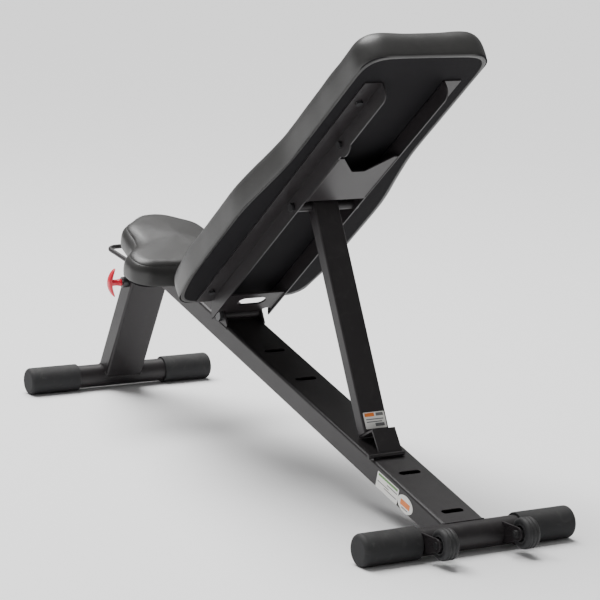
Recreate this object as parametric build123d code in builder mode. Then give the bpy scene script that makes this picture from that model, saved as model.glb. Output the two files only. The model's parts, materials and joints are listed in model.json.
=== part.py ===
from build123d import *
from math import acos, asin, atan2, cos, degrees, radians, sin
import os

# Decline sit up bench. Millimetres; +X runs from the carrying wheels to the seat, +Y is the left
# side, +Z is up. The origin is on the floor, below the middle of the bench.
os.makedirs("parts", exist_ok=True)

# ---------------------------------------------------------------- driving dimensions
# Floor frame: two round cross tubes with rubber sleeves as feet
base_spacing = 1412.0  # between the axes of the two cross tubes
base_width = 450.0  # over the ends of the rubber sleeves
base_tube_dia = 50.8
base_tube_wall = 2.0
sleeve_dia = 60.0
sleeve_length = 118.5
sleeve_end_wall = 5.0
sleeve_end_round = 8.0
sleeve_lip_round = 2.0
floor_flat = 0.6  # how much the floor squeezes each sleeve flat

# Spine and post: one rectangular tube profile
spine_width = 90.0
spine_depth = 45.0
spine_wall = 2.5
spine_corner = 6.0
spine_slope = 13.83  # degrees, rising to the seat
post_set_back = 152.0  # how far the post's top stands behind the front cross tube
spine_overhang = 38.0  # spine beyond the middle of the post
end_cap_flange = 3.0
end_cap_plug = 18.0

# Slots across the top of the spine, placed by their distance behind the back's hinge
slot_length = 46.0
slot_width = 13.0
flat_slot_back = 830.0
low_slot_back = 681.7
rest_slot_back = 611.2
upright_slot_back = 283.8
spare_slot_back = 153.1

# Hinge of the back
pivot_to_post = 410.5  # along the spine, from the hinge to the post
pivot_height = 11.0  # hinge axis above the top of the spine
pivot_bolt_dia = 12.0
ear_thickness = 4.0
ear_radius = 13.5
ear_foot = 28.0  # half length of the ear where it stands on the spine
barrel_dia = 20.0
barrel_length = 80.0
bush_outer_dia = 16.0
bush_length = 22.0

# Back frame
back_rise = 39.28  # degrees above level, in the prop's rear slot
hinge_drop = 29.2  # hinge axis below the underside of the board
rail_spread = 129.0  # between the inner faces of the two rails
rail_height = 34.0
rail_flange = 38.0
rail_thickness = 3.0
rail_tip = -4.0  # the rail's pointed lower end, along the back from the hinge
rail_heel = 20.0
rail_top = 824.0
rail_top_round = 20.0
ear_station = 646.0  # the lobe on the left rail's free edge, along the back from the hinge
ear_lobe_radius = 27.0
ear_lobe_height = 16.0  # its centre, below the underside of the board
ear_bolt_station = 637.0
ear_bolt_dia = 8.0
hinge_plate_thickness = 4.0
hinge_plate_start = 12.0
hinge_plate_end = 89.0
hand_slot_length = 64.0
hand_slot_width = 28.0
hand_slot_station = 58.0
cross_plate_start = 464.0
cross_plate_end = 616.0
cross_plate_waist = 567.0
cross_plate_thickness = 3.0
rail_screw_stations = (60.0, 762.0)
rail_screw_dia = 8.0

# Back cushion and its board
pad_start = 4.0
pad_length = 906.0
pad_thickness = 62.0
pad_hip_half_width = 167.0
pad_head_half_width = 140.0
pad_tail_half_width = 150.0
pad_edge_round = 18.0
pad_corner_round = 46.0
board_thickness = 15.0
board_inset = 7.0

# Prop strut
axle_station = 418.0  # the strut's axle, along the back from the hinge
axle_drop = 20.0  # and below the underside of the board
axle_dia = 10.0
strut_width = 55.0
strut_depth = 28.0
strut_wall = 2.0
strut_corner = 4.0
strut_reach = 454.0  # from the axle to the cut lower end
strut_bush_dia = 16.0
spacer_dia = 17.0
foot_offset = 43.5  # the foot's tip behind the strut's axis
foot_plate_thickness = 4.0
foot_plate_width = 50.0
foot_plate_ledge = 36.0
foot_gap = 0.9  # foot plate above the spine
tongue_depth = 1.4
tongue_thickness = 4.0
tongue_width = 32.0
tongue_slack = 0.2  # between the tongue and the end of its slot
stop_bar_dia = 8.0
stop_bar_overhang = 9.0

# Seat
seat_length = 298.0
seat_rear_half_width = 163.0
seat_front_half_width = 98.0
seat_thickness = 51.0
seat_edge_round = 22.0
seat_ahead = 160.0  # back edge of the seat, along the spine from the hinge
seat_board_thickness = 12.0
seat_bracket_thickness = 4.0
seat_bracket_width = 124.0
seat_bracket_length = 190.0
seat_screw_dia = 8.0

# Carrying wheels behind the rear cross tube
wheel_dia = 57.0
wheel_width = 28.0
wheel_hub_dia = 36.0
wheel_back = 64.0
wheel_rise = 12.0  # wheel axis above the cross tube's axis
wheel_spread = 172.0
wheel_bolt_dia = 8.0
wheel_bolt_head = 2.0
wheel_play = 1.5
bracket_thickness = 3.5

# Pull pin on the post
pin_station = 268.0  # up the post from the front cross tube
pin_tip_dia = 13.0
pin_shaft_dia = 8.0
pin_tip_start = 4.0
pin_tip_end = 26.0
housing_dia = 16.0
collar_dia = 24.0
collar_length = 13.0
housing_start = 18.0
housing_lid = 3.0
spring_wire = 1.0
spring_turns = 7
knob_stem_dia = 17.0
knob_length = 64.0
knob_width = 17.0
knob_outer = 92.0

# Carry handle at the nose of the seat
handle_rod_dia = 10.0
handle_reach = 125.0
handle_bend = 24.0
handle_bow = 5.0
handle_tilt = 7.0  # degrees, rising forward

# Blank decals
label_thickness = 0.4
side_label_length = 76.0
side_label_height = 31.5
side_label_back = 683.5
oval_label_length = 52.0
oval_label_height = 32.0
oval_label_back = 747.5
strut_label_width = 46.0
strut_label_height = 32.0

# Fits
running_fit = 0.05  # radial, between a pin and the bore that turns on it
slide_fit = 0.08  # radial, round the sliding pin
side_play = 0.5  # between faces that turn past each other
hex_ratio = 1.6  # width across flats of a hex head, in shank diameters
head_ratio = 0.65  # height of a hex head, in shank diameters

# ---------------------------------------------------------------- places worked out from them
rear_reach = wheel_back + wheel_dia / 2
front_reach = sleeve_dia / 2
rear_x = -(base_spacing + front_reach - rear_reach) / 2
front_x = rear_x + base_spacing
base_z = sleeve_dia / 2 - floor_flat
spine_top = spine_depth / 2


def tilted(x, z, incline):
    """A frame in the bench's middle plane: its X climbs at `incline` degrees, its Y is +Y."""
    angle = radians(incline)
    return Plane(origin=(x, 0, z), x_dir=(cos(angle), 0, sin(angle)), z_dir=(-sin(angle), 0, cos(angle)))


def at(frame, along, height, y=0.0):
    """The point that is `along` the frame's X and `height` along its Z."""
    return frame.from_local_coords(Vector(along, y, height))


def side_view(frame, y):
    """A sketch plane at `y`, whose X and Y are the frame's X and Z; it extrudes toward -Y."""
    return Plane(origin=at(frame, 0, 0, y), x_dir=frame.x_dir, z_dir=(0, -1, 0))


def end_view(frame, along):
    """A sketch plane across the frame at `along`, whose X is +Y and whose Y is the frame's Z."""
    return Plane(origin=at(frame, along, 0), x_dir=(0, 1, 0), z_dir=frame.x_dir)


def heading(start, end):
    """The direction from one point to another in the middle plane, in degrees from +X."""
    return degrees(atan2(end.Z - start.Z, end.X - start.X))


spine = tilted(rear_x, base_z, spine_slope)
slope = radians(spine_slope)
post_station = (base_spacing - post_set_back - spine_top * sin(slope)) / cos(slope)
post_top = at(spine, post_station, -spine_top)
post = tilted(front_x, base_z, heading(Vector(front_x, 0, base_z), post_top))
post_length = (post_top - Vector(front_x, 0, base_z)).length
spine_length = post_station + spine_overhang

pivot_station = post_station - pivot_to_post
pivot = at(spine, pivot_station, spine_top + pivot_height)
rise = radians(back_rise)
back = tilted(pivot.X + hinge_drop * sin(rise), pivot.Z + hinge_drop * cos(rise), 180 - back_rise)
axle = at(back, axle_station, axle_drop)

# The foot's tongue stands at the rear end of its slot at rest and at the front end of the upright
# slot when the back is raised.
tongue_shift = (slot_width - tongue_thickness) / 2 - tongue_slack
foot_station = pivot_station - rest_slot_back - tongue_shift
upright_station = pivot_station - upright_slot_back + tongue_shift
foot = at(spine, foot_station, spine_top)
upright_foot = at(spine, upright_station, spine_top)
foot_distance = (axle - foot).length
strut_incline = heading(foot, axle) + degrees(asin(foot_offset / foot_distance))
strut = tilted(axle.X, axle.Z, strut_incline)

# The linkage's upper limit, from the triangle of hinge, axle and upright foot
axle_radius = (axle - pivot).length
foot_radius = (upright_foot - pivot).length
cosine = (axle_radius**2 + foot_radius**2 - foot_distance**2) / (2 * axle_radius * foot_radius)
foot_heading = heading(pivot, upright_foot) % 360
raised_heading = foot_heading - degrees(acos(cosine))
back_travel = heading(pivot, axle) % 360 - raised_heading
raised_axle = pivot + Vector(cos(radians(raised_heading)), 0, sin(radians(raised_heading))) * axle_radius
strut_travel = back_travel + heading(upright_foot, raised_axle) - heading(foot, axle)


# ---------------------------------------------------------------- shapes used more than once
def save(piece, name):
    """Label a finished piece and write its file."""
    piece.part.label = name
    export_step(piece.part, f"parts/{name}.step")


def box_section(plane, width, depth, wall, corner):
    """The section of a rectangular tube with rounded corners."""
    with BuildSketch(plane) as section:
        RectangleRounded(width, depth, corner)
        RectangleRounded(width - 2 * wall, depth - 2 * wall, corner - wall, mode=Mode.SUBTRACT)
    return section.sketch


def ring(plane, x, y, outer_radius, inner_radius):
    """A round section with a bore, at (x, y) on the plane."""
    with BuildSketch(plane) as section:
        with Locations((x, y)):
            Circle(outer_radius)
            Circle(inner_radius, mode=Mode.SUBTRACT)
    return section.sketch


def disc(plane, x, y, radius):
    """A round section at (x, y) on the plane."""
    with BuildSketch(plane) as section:
        with Locations((x, y)):
            Circle(radius)
    return section.sketch


def hexagon(plane, x, y, shank_dia):
    """The outline of a hex head or nut for a shank, at (x, y) on the plane."""
    with BuildSketch(plane) as section:
        with Locations((x, y)):
            RegularPolygon(shank_dia * hex_ratio / 2, 6, major_radius=False)
    return section.sketch


def cross_bolt(frame, along, height, head_y, end_y, shank_dia):
    """A hex bolt across the bench, its head standing out from `head_y` and its end at `end_y`."""
    outward = 1 if head_y > end_y else -1
    head_height = shank_dia * head_ratio
    with BuildPart() as bolt:
        head_plane = side_view(frame, head_y)
        extrude(disc(head_plane, along, height, shank_dia / 2), amount=head_y - end_y)
        extrude(hexagon(head_plane, along, height, shank_dia), amount=-outward * head_height)
    return bolt.part


def half_outline_face(plane, corners, radii):
    """A face whose half outline runs through `corners` from the middle line back to it."""
    with BuildSketch(plane) as outline:
        with BuildLine():
            FilletPolyline(*corners, radius=radii)
            mirror(about=Plane.XZ)
        make_face()
    return outline.sketch


# ---------------------------------------------------------------- floor frame
def cross_tube(x):
    """A round floor tube along Y."""
    length = base_width - 2 * sleeve_end_wall
    with BuildPart() as tube:
        section = ring(Plane.XZ, x, base_z, base_tube_dia / 2, base_tube_dia / 2 - base_tube_wall)
        extrude(section, amount=length / 2, both=True)
    return tube


def rubber_sleeve(x, hand):
    """A rubber sleeve over one end of a floor tube, with a small flat on the floor."""
    outer = base_width / 2
    bore = base_tube_dia / 2
    with BuildPart() as sleeve:
        with BuildSketch(Plane.XY):
            with BuildLine():
                Polyline(
                    (0, outer),
                    (sleeve_dia / 2, outer),
                    (sleeve_dia / 2, outer - sleeve_length),
                    (bore, outer - sleeve_length),
                    (bore, outer - sleeve_end_wall),
                    (0, outer - sleeve_end_wall),
                    close=True,
                )
            make_face()
            fillet(vertices().group_by(Axis.X)[-1].sort_by(Axis.Y)[-1], sleeve_end_round)
            fillet(vertices().group_by(Axis.X)[-1].sort_by(Axis.Y)[0], sleeve_lip_round)
        revolve(axis=Axis.Y)
        with Locations((0, outer, -base_z)):
            below = (Align.CENTER, Align.CENTER, Align.MAX)
            Box(sleeve_dia, sleeve_length * 3, sleeve_dia, align=below, mode=Mode.SUBTRACT)
    placed = sleeve.part if hand > 0 else sleeve.part.mirror(Plane.XZ)
    with BuildPart(Plane((x, 0, base_z))) as finished:
        add(placed)
    return finished


rear_base_tube = cross_tube(rear_x)
save(rear_base_tube, "rear_base_tube")
front_base_tube = cross_tube(front_x)
save(front_base_tube, "front_base_tube")
for end_name, end_x in (("rear", rear_x), ("front", front_x)):
    for hand_name, hand in (("left", 1), ("right", -1)):
        sleeve = rubber_sleeve(end_x, hand)
        save(sleeve, f"{end_name}_sleeve_{hand_name}")

# ---------------------------------------------------------------- spine and post
slot_stations = [
    pivot_station - distance
    for distance in (flat_slot_back, low_slot_back, rest_slot_back, upright_slot_back, spare_slot_back)
]

with BuildPart() as main_tube:
    section = box_section(end_view(spine, 0), spine_width, spine_depth, spine_wall, spine_corner)
    extrude(section, amount=spine_length)
    floor_tube = disc(Plane.XZ, rear_x, base_z, base_tube_dia / 2)
    extrude(floor_tube, amount=spine_width, both=True, mode=Mode.SUBTRACT)
    with BuildSketch(spine.offset(spine_top)):
        with Locations([(station, 0) for station in slot_stations]):
            SlotOverall(slot_length, slot_width, rotation=90)
    extrude(amount=-spine_wall * 2, mode=Mode.SUBTRACT)
save(main_tube, "main_tube")

with BuildPart() as front_post:
    section = box_section(end_view(post, 0), spine_width, spine_depth, spine_wall, spine_corner)
    extrude(section, amount=post_length * 1.2)
    floor_tube = disc(Plane.XZ, front_x, base_z, base_tube_dia / 2)
    extrude(floor_tube, amount=spine_width, both=True, mode=Mode.SUBTRACT)
    split(bisect_by=spine.offset(-spine_top), keep=Keep.BOTTOM)
    pin_hole = disc(side_view(post, spine_width), pin_station, 0, housing_dia / 2)
    extrude(pin_hole, amount=spine_width, mode=Mode.SUBTRACT)
save(front_post, "front_post")

with BuildPart() as spine_end_cap:
    with BuildSketch(end_view(spine, spine_length)):
        RectangleRounded(spine_width, spine_depth, spine_corner)
    extrude(amount=end_cap_flange)
    fillet(spine_end_cap.faces().sort_by(Axis(spine.origin, spine.x_dir))[-1].edges(), end_cap_flange / 2)
    with BuildSketch(end_view(spine, spine_length)):
        plug_width, plug_depth = spine_width - 2 * spine_wall, spine_depth - 2 * spine_wall
        RectangleRounded(plug_width, plug_depth, spine_corner - spine_wall)
    extrude(amount=-end_cap_plug)
save(spine_end_cap, "spine_end_cap")

# ---------------------------------------------------------------- hinge of the back
ear_inner = spine_width / 2 - ear_thickness
pivot_height_in_spine = spine_top + pivot_height
for hand_name, hand in (("left", 1), ("right", -1)):
    ear_start = max(hand * ear_inner, hand * spine_width / 2)
    with BuildPart() as pivot_ear:
        with BuildSketch(side_view(spine, ear_start)):
            with Locations((pivot_station, pivot_height_in_spine)):
                Circle(ear_radius)
            with BuildLine():
                Polyline(
                    (pivot_station - ear_foot, spine_top - spine_corner),
                    (pivot_station - ear_foot, spine_top + 2),
                    (pivot_station - ear_radius * 0.7, pivot_height_in_spine + ear_radius * 0.7),
                    (pivot_station + ear_radius * 0.7, pivot_height_in_spine + ear_radius * 0.7),
                    (pivot_station + ear_foot, spine_top + 2),
                    (pivot_station + ear_foot, spine_top - spine_corner),
                    close=True,
                )
            make_face()
            with Locations((pivot_station, pivot_height_in_spine)):
                Circle(pivot_bolt_dia / 2 + running_fit, mode=Mode.SUBTRACT)
        extrude(amount=ear_thickness)
        with BuildSketch(end_view(spine, 0)):
            RectangleRounded(spine_width, spine_depth, spine_corner)
        extrude(amount=spine_length, mode=Mode.SUBTRACT)
    save(pivot_ear, f"pivot_ear_{hand_name}")

with BuildPart() as pivot_bolt:
    head_y = spine_width / 2
    add(cross_bolt(spine, pivot_station, pivot_height_in_spine, head_y, -head_y, pivot_bolt_dia))
save(pivot_bolt, "pivot_bolt")

with BuildPart() as hinge_barrel:
    section = ring(side_view(back, 0), 0, hinge_drop, barrel_dia / 2, bush_outer_dia / 2)
    extrude(section, amount=barrel_length / 2, both=True)
save(hinge_barrel, "hinge_barrel")

with BuildPart() as hinge_bushes:
    for end_y in (barrel_length / 2, bush_length - barrel_length / 2):
        bore = pivot_bolt_dia / 2 + running_fit
        extrude(ring(side_view(back, end_y), 0, hinge_drop, bush_outer_dia / 2, bore), amount=bush_length)
save(hinge_bushes, "hinge_bushes")

# ---------------------------------------------------------------- back frame
rail_inner = rail_spread / 2
rail_outer = rail_inner + rail_thickness
rail_edge = rail_inner + rail_flange
for hand_name, hand in (("left", 1), ("right", -1)):
    with BuildPart() as rail:
        with BuildSketch(end_view(back, rail_tip)):
            with BuildLine():
                Polyline(
                    (hand * rail_inner, 0),
                    (hand * rail_edge, 0),
                    (hand * rail_edge, rail_thickness),
                    (hand * rail_outer, rail_thickness),
                    (hand * rail_outer, rail_height),
                    (hand * rail_inner, rail_height),
                    close=True,
                )
            make_face()
            corner = vertices().filter_by(lambda v: v.Y < 1 and abs(v.X) < rail_outer)
            fillet(corner, rail_thickness + 1)
        extrude(amount=rail_top - rail_tip)
        if hand > 0:
            with BuildSketch(side_view(back, rail_outer)):
                with Locations((ear_station, ear_lobe_height)):
                    Circle(ear_lobe_radius)
                    with Locations((0, -ear_lobe_radius)):
                        Rectangle(2 * ear_lobe_radius, 2 * (ear_lobe_radius - 8), mode=Mode.SUBTRACT)
            extrude(amount=rail_thickness)
            bolt_hole = disc(side_view(back, rail_outer), ear_bolt_station, ear_lobe_height, ear_bolt_dia / 2)
            extrude(bolt_hole, amount=rail_thickness, mode=Mode.SUBTRACT)
        top_edges = rail.edges().filter_by(Axis.Y).sort_by(Axis(back.origin, back.x_dir))
        free_corner = top_edges.filter_by(lambda e: e.length < rail_thickness + 1).sort_by(
            Axis(back.origin, back.x_dir + back.z_dir)
        )[-1]
        fillet(free_corner, rail_top_round)
        with BuildSketch(side_view(back, rail_edge)):
            with BuildLine():
                Polyline(
                    (rail_tip - 1, rail_height + 1),
                    (rail_tip - 1, -1),
                    (rail_heel + 1, -1),
                    (rail_tip, rail_height + 1),
                    close=True,
                )
            make_face()
        extrude(amount=2 * rail_edge, mode=Mode.SUBTRACT)
        axle_hole = disc(side_view(back, rail_outer), axle_station, axle_drop, axle_dia / 2 + running_fit)
        extrude(axle_hole, amount=2 * rail_outer, mode=Mode.SUBTRACT)
        with BuildSketch(back):
            flange_middle = hand * (rail_edge + rail_outer) / 2
            with Locations([(station, flange_middle) for station in rail_screw_stations]):
                Circle(rail_screw_dia / 2)
        extrude(amount=rail_thickness, mode=Mode.SUBTRACT)
    save(rail, f"rail_{hand_name}")

with BuildPart() as hinge_plate:
    with BuildSketch(back.offset(hinge_drop - hinge_plate_thickness / 2)):
        with Locations(((hinge_plate_start + hinge_plate_end) / 2, 0)):
            Rectangle(hinge_plate_end - hinge_plate_start, rail_spread)
        with Locations((hinge_plate_start / 2, 0)):
            Rectangle(hinge_plate_start, barrel_length)
        notch_radius = (rail_spread - barrel_length) / 4 - side_play / 2
        with Locations([(hinge_plate_start, hand * (rail_inner - notch_radius)) for hand in (1, -1)]):
            Circle(notch_radius, mode=Mode.SUBTRACT)
        with Locations((hand_slot_station, 0)):
            SlotOverall(hand_slot_length, hand_slot_width, rotation=90, mode=Mode.SUBTRACT)
    extrude(amount=hinge_plate_thickness)
    barrel_core = disc(side_view(back, 0), 0, hinge_drop, barrel_dia / 2)
    extrude(barrel_core, amount=barrel_length, both=True, mode=Mode.SUBTRACT)
save(hinge_plate, "hinge_plate")

with BuildPart() as cross_plate:
    with BuildSketch(back.offset(rail_height - cross_plate_thickness)):
        with BuildLine():
            Polyline(
                (cross_plate_start, 0),
                (cross_plate_start, rail_inner),
                (cross_plate_end, rail_inner),
                (cross_plate_end, rail_inner - 10),
                (cross_plate_waist, 14),
                (cross_plate_waist, 0),
            )
            mirror(about=Plane.XZ)
        make_face()
        fillet(vertices().filter_by(lambda v: abs(v.X - cross_plate_waist) < 1), 6)
    extrude(amount=cross_plate_thickness)
save(cross_plate, "cross_plate")

with BuildPart() as rail_screws:
    for station in rail_screw_stations:
        for hand in (1, -1):
            y = hand * (rail_edge + rail_outer) / 2
            extrude(disc(back, station, y, rail_screw_dia / 2), amount=-board_thickness * 0.8)
            extrude(disc(back, station, y, rail_screw_dia / 2), amount=rail_thickness)
            head = hexagon(back.offset(rail_thickness), station, y, rail_screw_dia)
            extrude(head, amount=rail_screw_dia * head_ratio)
save(rail_screws, "rail_screws")

with BuildPart() as ear_bolt:
    ear_bolt_end = rail_inner - ear_bolt_dia
    add(cross_bolt(back, ear_bolt_station, ear_lobe_height, rail_outer, ear_bolt_end, ear_bolt_dia))
    nut_outline = hexagon(side_view(back, rail_inner), ear_bolt_station, ear_lobe_height, ear_bolt_dia)
    extrude(nut_outline, amount=ear_bolt_dia * 0.8)
save(ear_bolt, "ear_bolt")

with BuildPart() as strut_axle:
    end_y = -rail_outer - axle_dia * 1.1
    add(cross_bolt(back, axle_station, axle_drop, rail_outer, end_y, axle_dia))
save(strut_axle, "strut_axle")

with BuildPart() as strut_axle_nut:
    extrude(hexagon(side_view(back, -rail_outer), axle_station, axle_drop, axle_dia), amount=axle_dia * 0.9)
    bolt_hole = disc(side_view(back, 0), axle_station, axle_drop, axle_dia / 2)
    extrude(bolt_hole, amount=2 * rail_outer, mode=Mode.SUBTRACT)
save(strut_axle_nut, "strut_axle_nut")

with BuildPart() as axle_spacers:
    spacer_length = rail_inner - strut_width / 2 - side_play
    for start_y in (rail_inner, spacer_length - rail_inner):
        bore = axle_dia / 2 + running_fit
        section = ring(side_view(back, start_y), axle_station, axle_drop, spacer_dia / 2, bore)
        extrude(section, amount=spacer_length)
save(axle_spacers, "axle_spacers")

# ---------------------------------------------------------------- back cushion
pad_end = pad_start + pad_length
pad_corners = [
    (pad_start, 0),
    (pad_start, pad_tail_half_width),
    (pad_start + 0.13 * pad_length, pad_hip_half_width),
    (pad_start + 0.42 * pad_length, pad_hip_half_width),
    (pad_start + 0.61 * pad_length, pad_head_half_width),
    (pad_end, pad_head_half_width),
    (pad_end, 0),
]
pad_bend = 2 * pad_hip_half_width
pad_radii = [pad_corner_round, pad_bend, pad_bend, pad_bend, pad_corner_round]

with BuildPart() as backrest_board:
    with BuildSketch(back):
        add(half_outline_face(Plane.XY, pad_corners, pad_radii))
        offset(amount=-board_inset, mode=Mode.REPLACE)
        flange_middle = (rail_edge + rail_outer) / 2
        screw_places = [(s, hand * flange_middle) for s in rail_screw_stations for hand in (1, -1)]
    extrude(amount=-board_thickness)
    with BuildSketch(back):
        with Locations(screw_places):
            Circle(rail_screw_dia / 2)
    extrude(amount=-board_thickness * 0.8, mode=Mode.SUBTRACT)
save(backrest_board, "backrest_board")

with BuildPart() as backrest_pad:
    extrude(half_outline_face(back, pad_corners, pad_radii), amount=-pad_thickness)
    fillet(backrest_pad.faces().sort_by(Axis(back.origin, back.z_dir))[0].edges(), pad_edge_round)
    with BuildSketch(back):
        add(half_outline_face(Plane.XY, pad_corners, pad_radii))
        offset(amount=-board_inset, mode=Mode.REPLACE)
    extrude(amount=-board_thickness, mode=Mode.SUBTRACT)
save(backrest_pad, "backrest_pad")

# ---------------------------------------------------------------- prop strut
with BuildPart() as strut_tube:
    section = box_section(end_view(strut, -strut_reach), strut_width, strut_depth, strut_wall, strut_corner)
    extrude(section, amount=strut_reach + strut_depth / 2)
    with BuildSketch(side_view(strut, strut_width)):
        with Locations((strut_depth / 4, 0)):
            Rectangle(strut_depth / 2 + 1, strut_depth + 1)
        Circle(strut_depth / 2, mode=Mode.SUBTRACT)
    extrude(amount=2 * strut_width, mode=Mode.SUBTRACT)
    bush_hole = disc(side_view(strut, strut_width), 0, 0, strut_bush_dia / 2)
    extrude(bush_hole, amount=2 * strut_width, mode=Mode.SUBTRACT)
save(strut_tube, "strut_tube")

with BuildPart() as strut_bush:
    section = ring(side_view(strut, 0), 0, 0, strut_bush_dia / 2, axle_dia / 2 + running_fit)
    extrude(section, amount=strut_width / 2, both=True)
save(strut_bush, "strut_bush")

foot_tip = strut.to_local_coords(foot)
ledge_along = -strut_reach - foot_plate_thickness / 2
with BuildPart() as foot_plate:
    with BuildSketch(side_view(strut, 0)):
        with BuildLine():
            Polyline(
                (ledge_along, -strut_depth / 2),
                (ledge_along, foot_plate_ledge),
                (foot_tip.X - 3, foot_tip.Z + 0.5),
            )
        trace(line_width=foot_plate_thickness)
    extrude(amount=foot_plate_width / 2, both=True)
    split(bisect_by=spine.offset(spine_top + foot_gap), keep=Keep.TOP)
    with BuildSketch(spine.offset(spine_top - tongue_depth)):
        with Locations((foot_station, 0)):
            Rectangle(tongue_thickness, tongue_width)
    extrude(amount=tongue_depth + foot_gap + 1)
save(foot_plate, "foot_plate")

with BuildPart() as foot_stop_bar:
    bar_left = spine_width / 2 + stop_bar_overhang
    bar_centre = (foot_station - 3.2, spine_top + stop_bar_dia / 2 + 1.4)
    section = disc(side_view(spine, bar_left), *bar_centre, stop_bar_dia / 2)
    extrude(section, amount=bar_left + foot_plate_width / 2)
    add(foot_plate.part, mode=Mode.SUBTRACT)
save(foot_stop_bar, "foot_stop_bar")

# ---------------------------------------------------------------- seat
seat_station = pivot_station + seat_ahead
seat_base = spine_top + seat_bracket_thickness
seat_corners = [
    (seat_station, 0),
    (seat_station, 0.37 * seat_rear_half_width),
    (seat_station + 10, seat_rear_half_width),
    (seat_station + 92, seat_rear_half_width - 3),
    (seat_station + 132, seat_front_half_width + 18),
    (seat_station + 0.795 * seat_length, seat_front_half_width),
    (seat_station + seat_length - 4, 30),
    (seat_station + seat_length, 0),
]
seat_radii = [260, 42, 40, 90, 50, 40]

with BuildPart() as seat_bracket:
    bracket_start = seat_station + (seat_length - seat_bracket_length) / 2
    bracket_middle = bracket_start + seat_bracket_length / 2
    seat_screw_places = [
        (bracket_middle + step * (seat_bracket_length / 2 - 20), hand * (seat_bracket_width / 2 - 8))
        for step in (1, -1)
        for hand in (1, -1)
    ]
    with BuildSketch(spine.offset(spine_top)):
        with Locations((bracket_middle, 0)):
            RectangleRounded(seat_bracket_length, seat_bracket_width, 8)
        with Locations(seat_screw_places):
            Circle(seat_screw_dia / 2, mode=Mode.SUBTRACT)
    extrude(amount=seat_bracket_thickness)
save(seat_bracket, "seat_bracket")

with BuildPart() as seat_board:
    with BuildSketch(spine.offset(seat_base)):
        add(half_outline_face(Plane.XY, seat_corners, seat_radii))
        offset(amount=-board_inset, mode=Mode.REPLACE)
    extrude(amount=seat_board_thickness)
    with BuildSketch(spine.offset(seat_base)):
        with Locations(seat_screw_places):
            Circle(seat_screw_dia / 2)
    extrude(amount=seat_board_thickness * 0.8, mode=Mode.SUBTRACT)
save(seat_board, "seat_board")

with BuildPart() as seat_pad:
    extrude(half_outline_face(spine.offset(seat_base), seat_corners, seat_radii), amount=seat_thickness)
    fillet(seat_pad.faces().sort_by(Axis(spine.origin, spine.z_dir))[-1].edges(), seat_edge_round)
    with BuildSketch(spine.offset(seat_base)):
        add(half_outline_face(Plane.XY, seat_corners, seat_radii))
        offset(amount=-board_inset, mode=Mode.REPLACE)
    extrude(amount=seat_board_thickness, mode=Mode.SUBTRACT)
save(seat_pad, "seat_pad")

with BuildPart() as seat_screws:
    head_height = seat_screw_dia * head_ratio
    for x, y in seat_screw_places:
        under = spine.offset(spine_top)
        screw_length = seat_bracket_thickness + seat_board_thickness * 0.8
        extrude(disc(under, x, y, seat_screw_dia / 2), amount=screw_length)
        extrude(hexagon(under, x, y, seat_screw_dia), amount=-head_height)
save(seat_screws, "seat_screws")

# ---------------------------------------------------------------- carry handle
with BuildPart() as front_handle:
    leg_y = spine_width / 2 + handle_rod_dia / 2
    leg_end = at(spine, post_station - 6, -spine_top - 2)
    handle = tilted(leg_end.X, leg_end.Z, handle_tilt)
    nose = handle_reach
    with BuildLine(handle) as handle_line:
        FilletPolyline(
            (0, leg_y),
            (nose, leg_y),
            (nose + handle_bow, 0),
            (nose, -leg_y),
            (0, -leg_y),
            radius=[handle_bend, handle_bend * 3, handle_bend],
        )
    with BuildSketch(Plane(origin=handle_line.line @ 0, z_dir=handle_line.line % 0)):
        Circle(handle_rod_dia / 2)
    sweep(path=handle_line.line)
save(front_handle, "front_handle")

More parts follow.
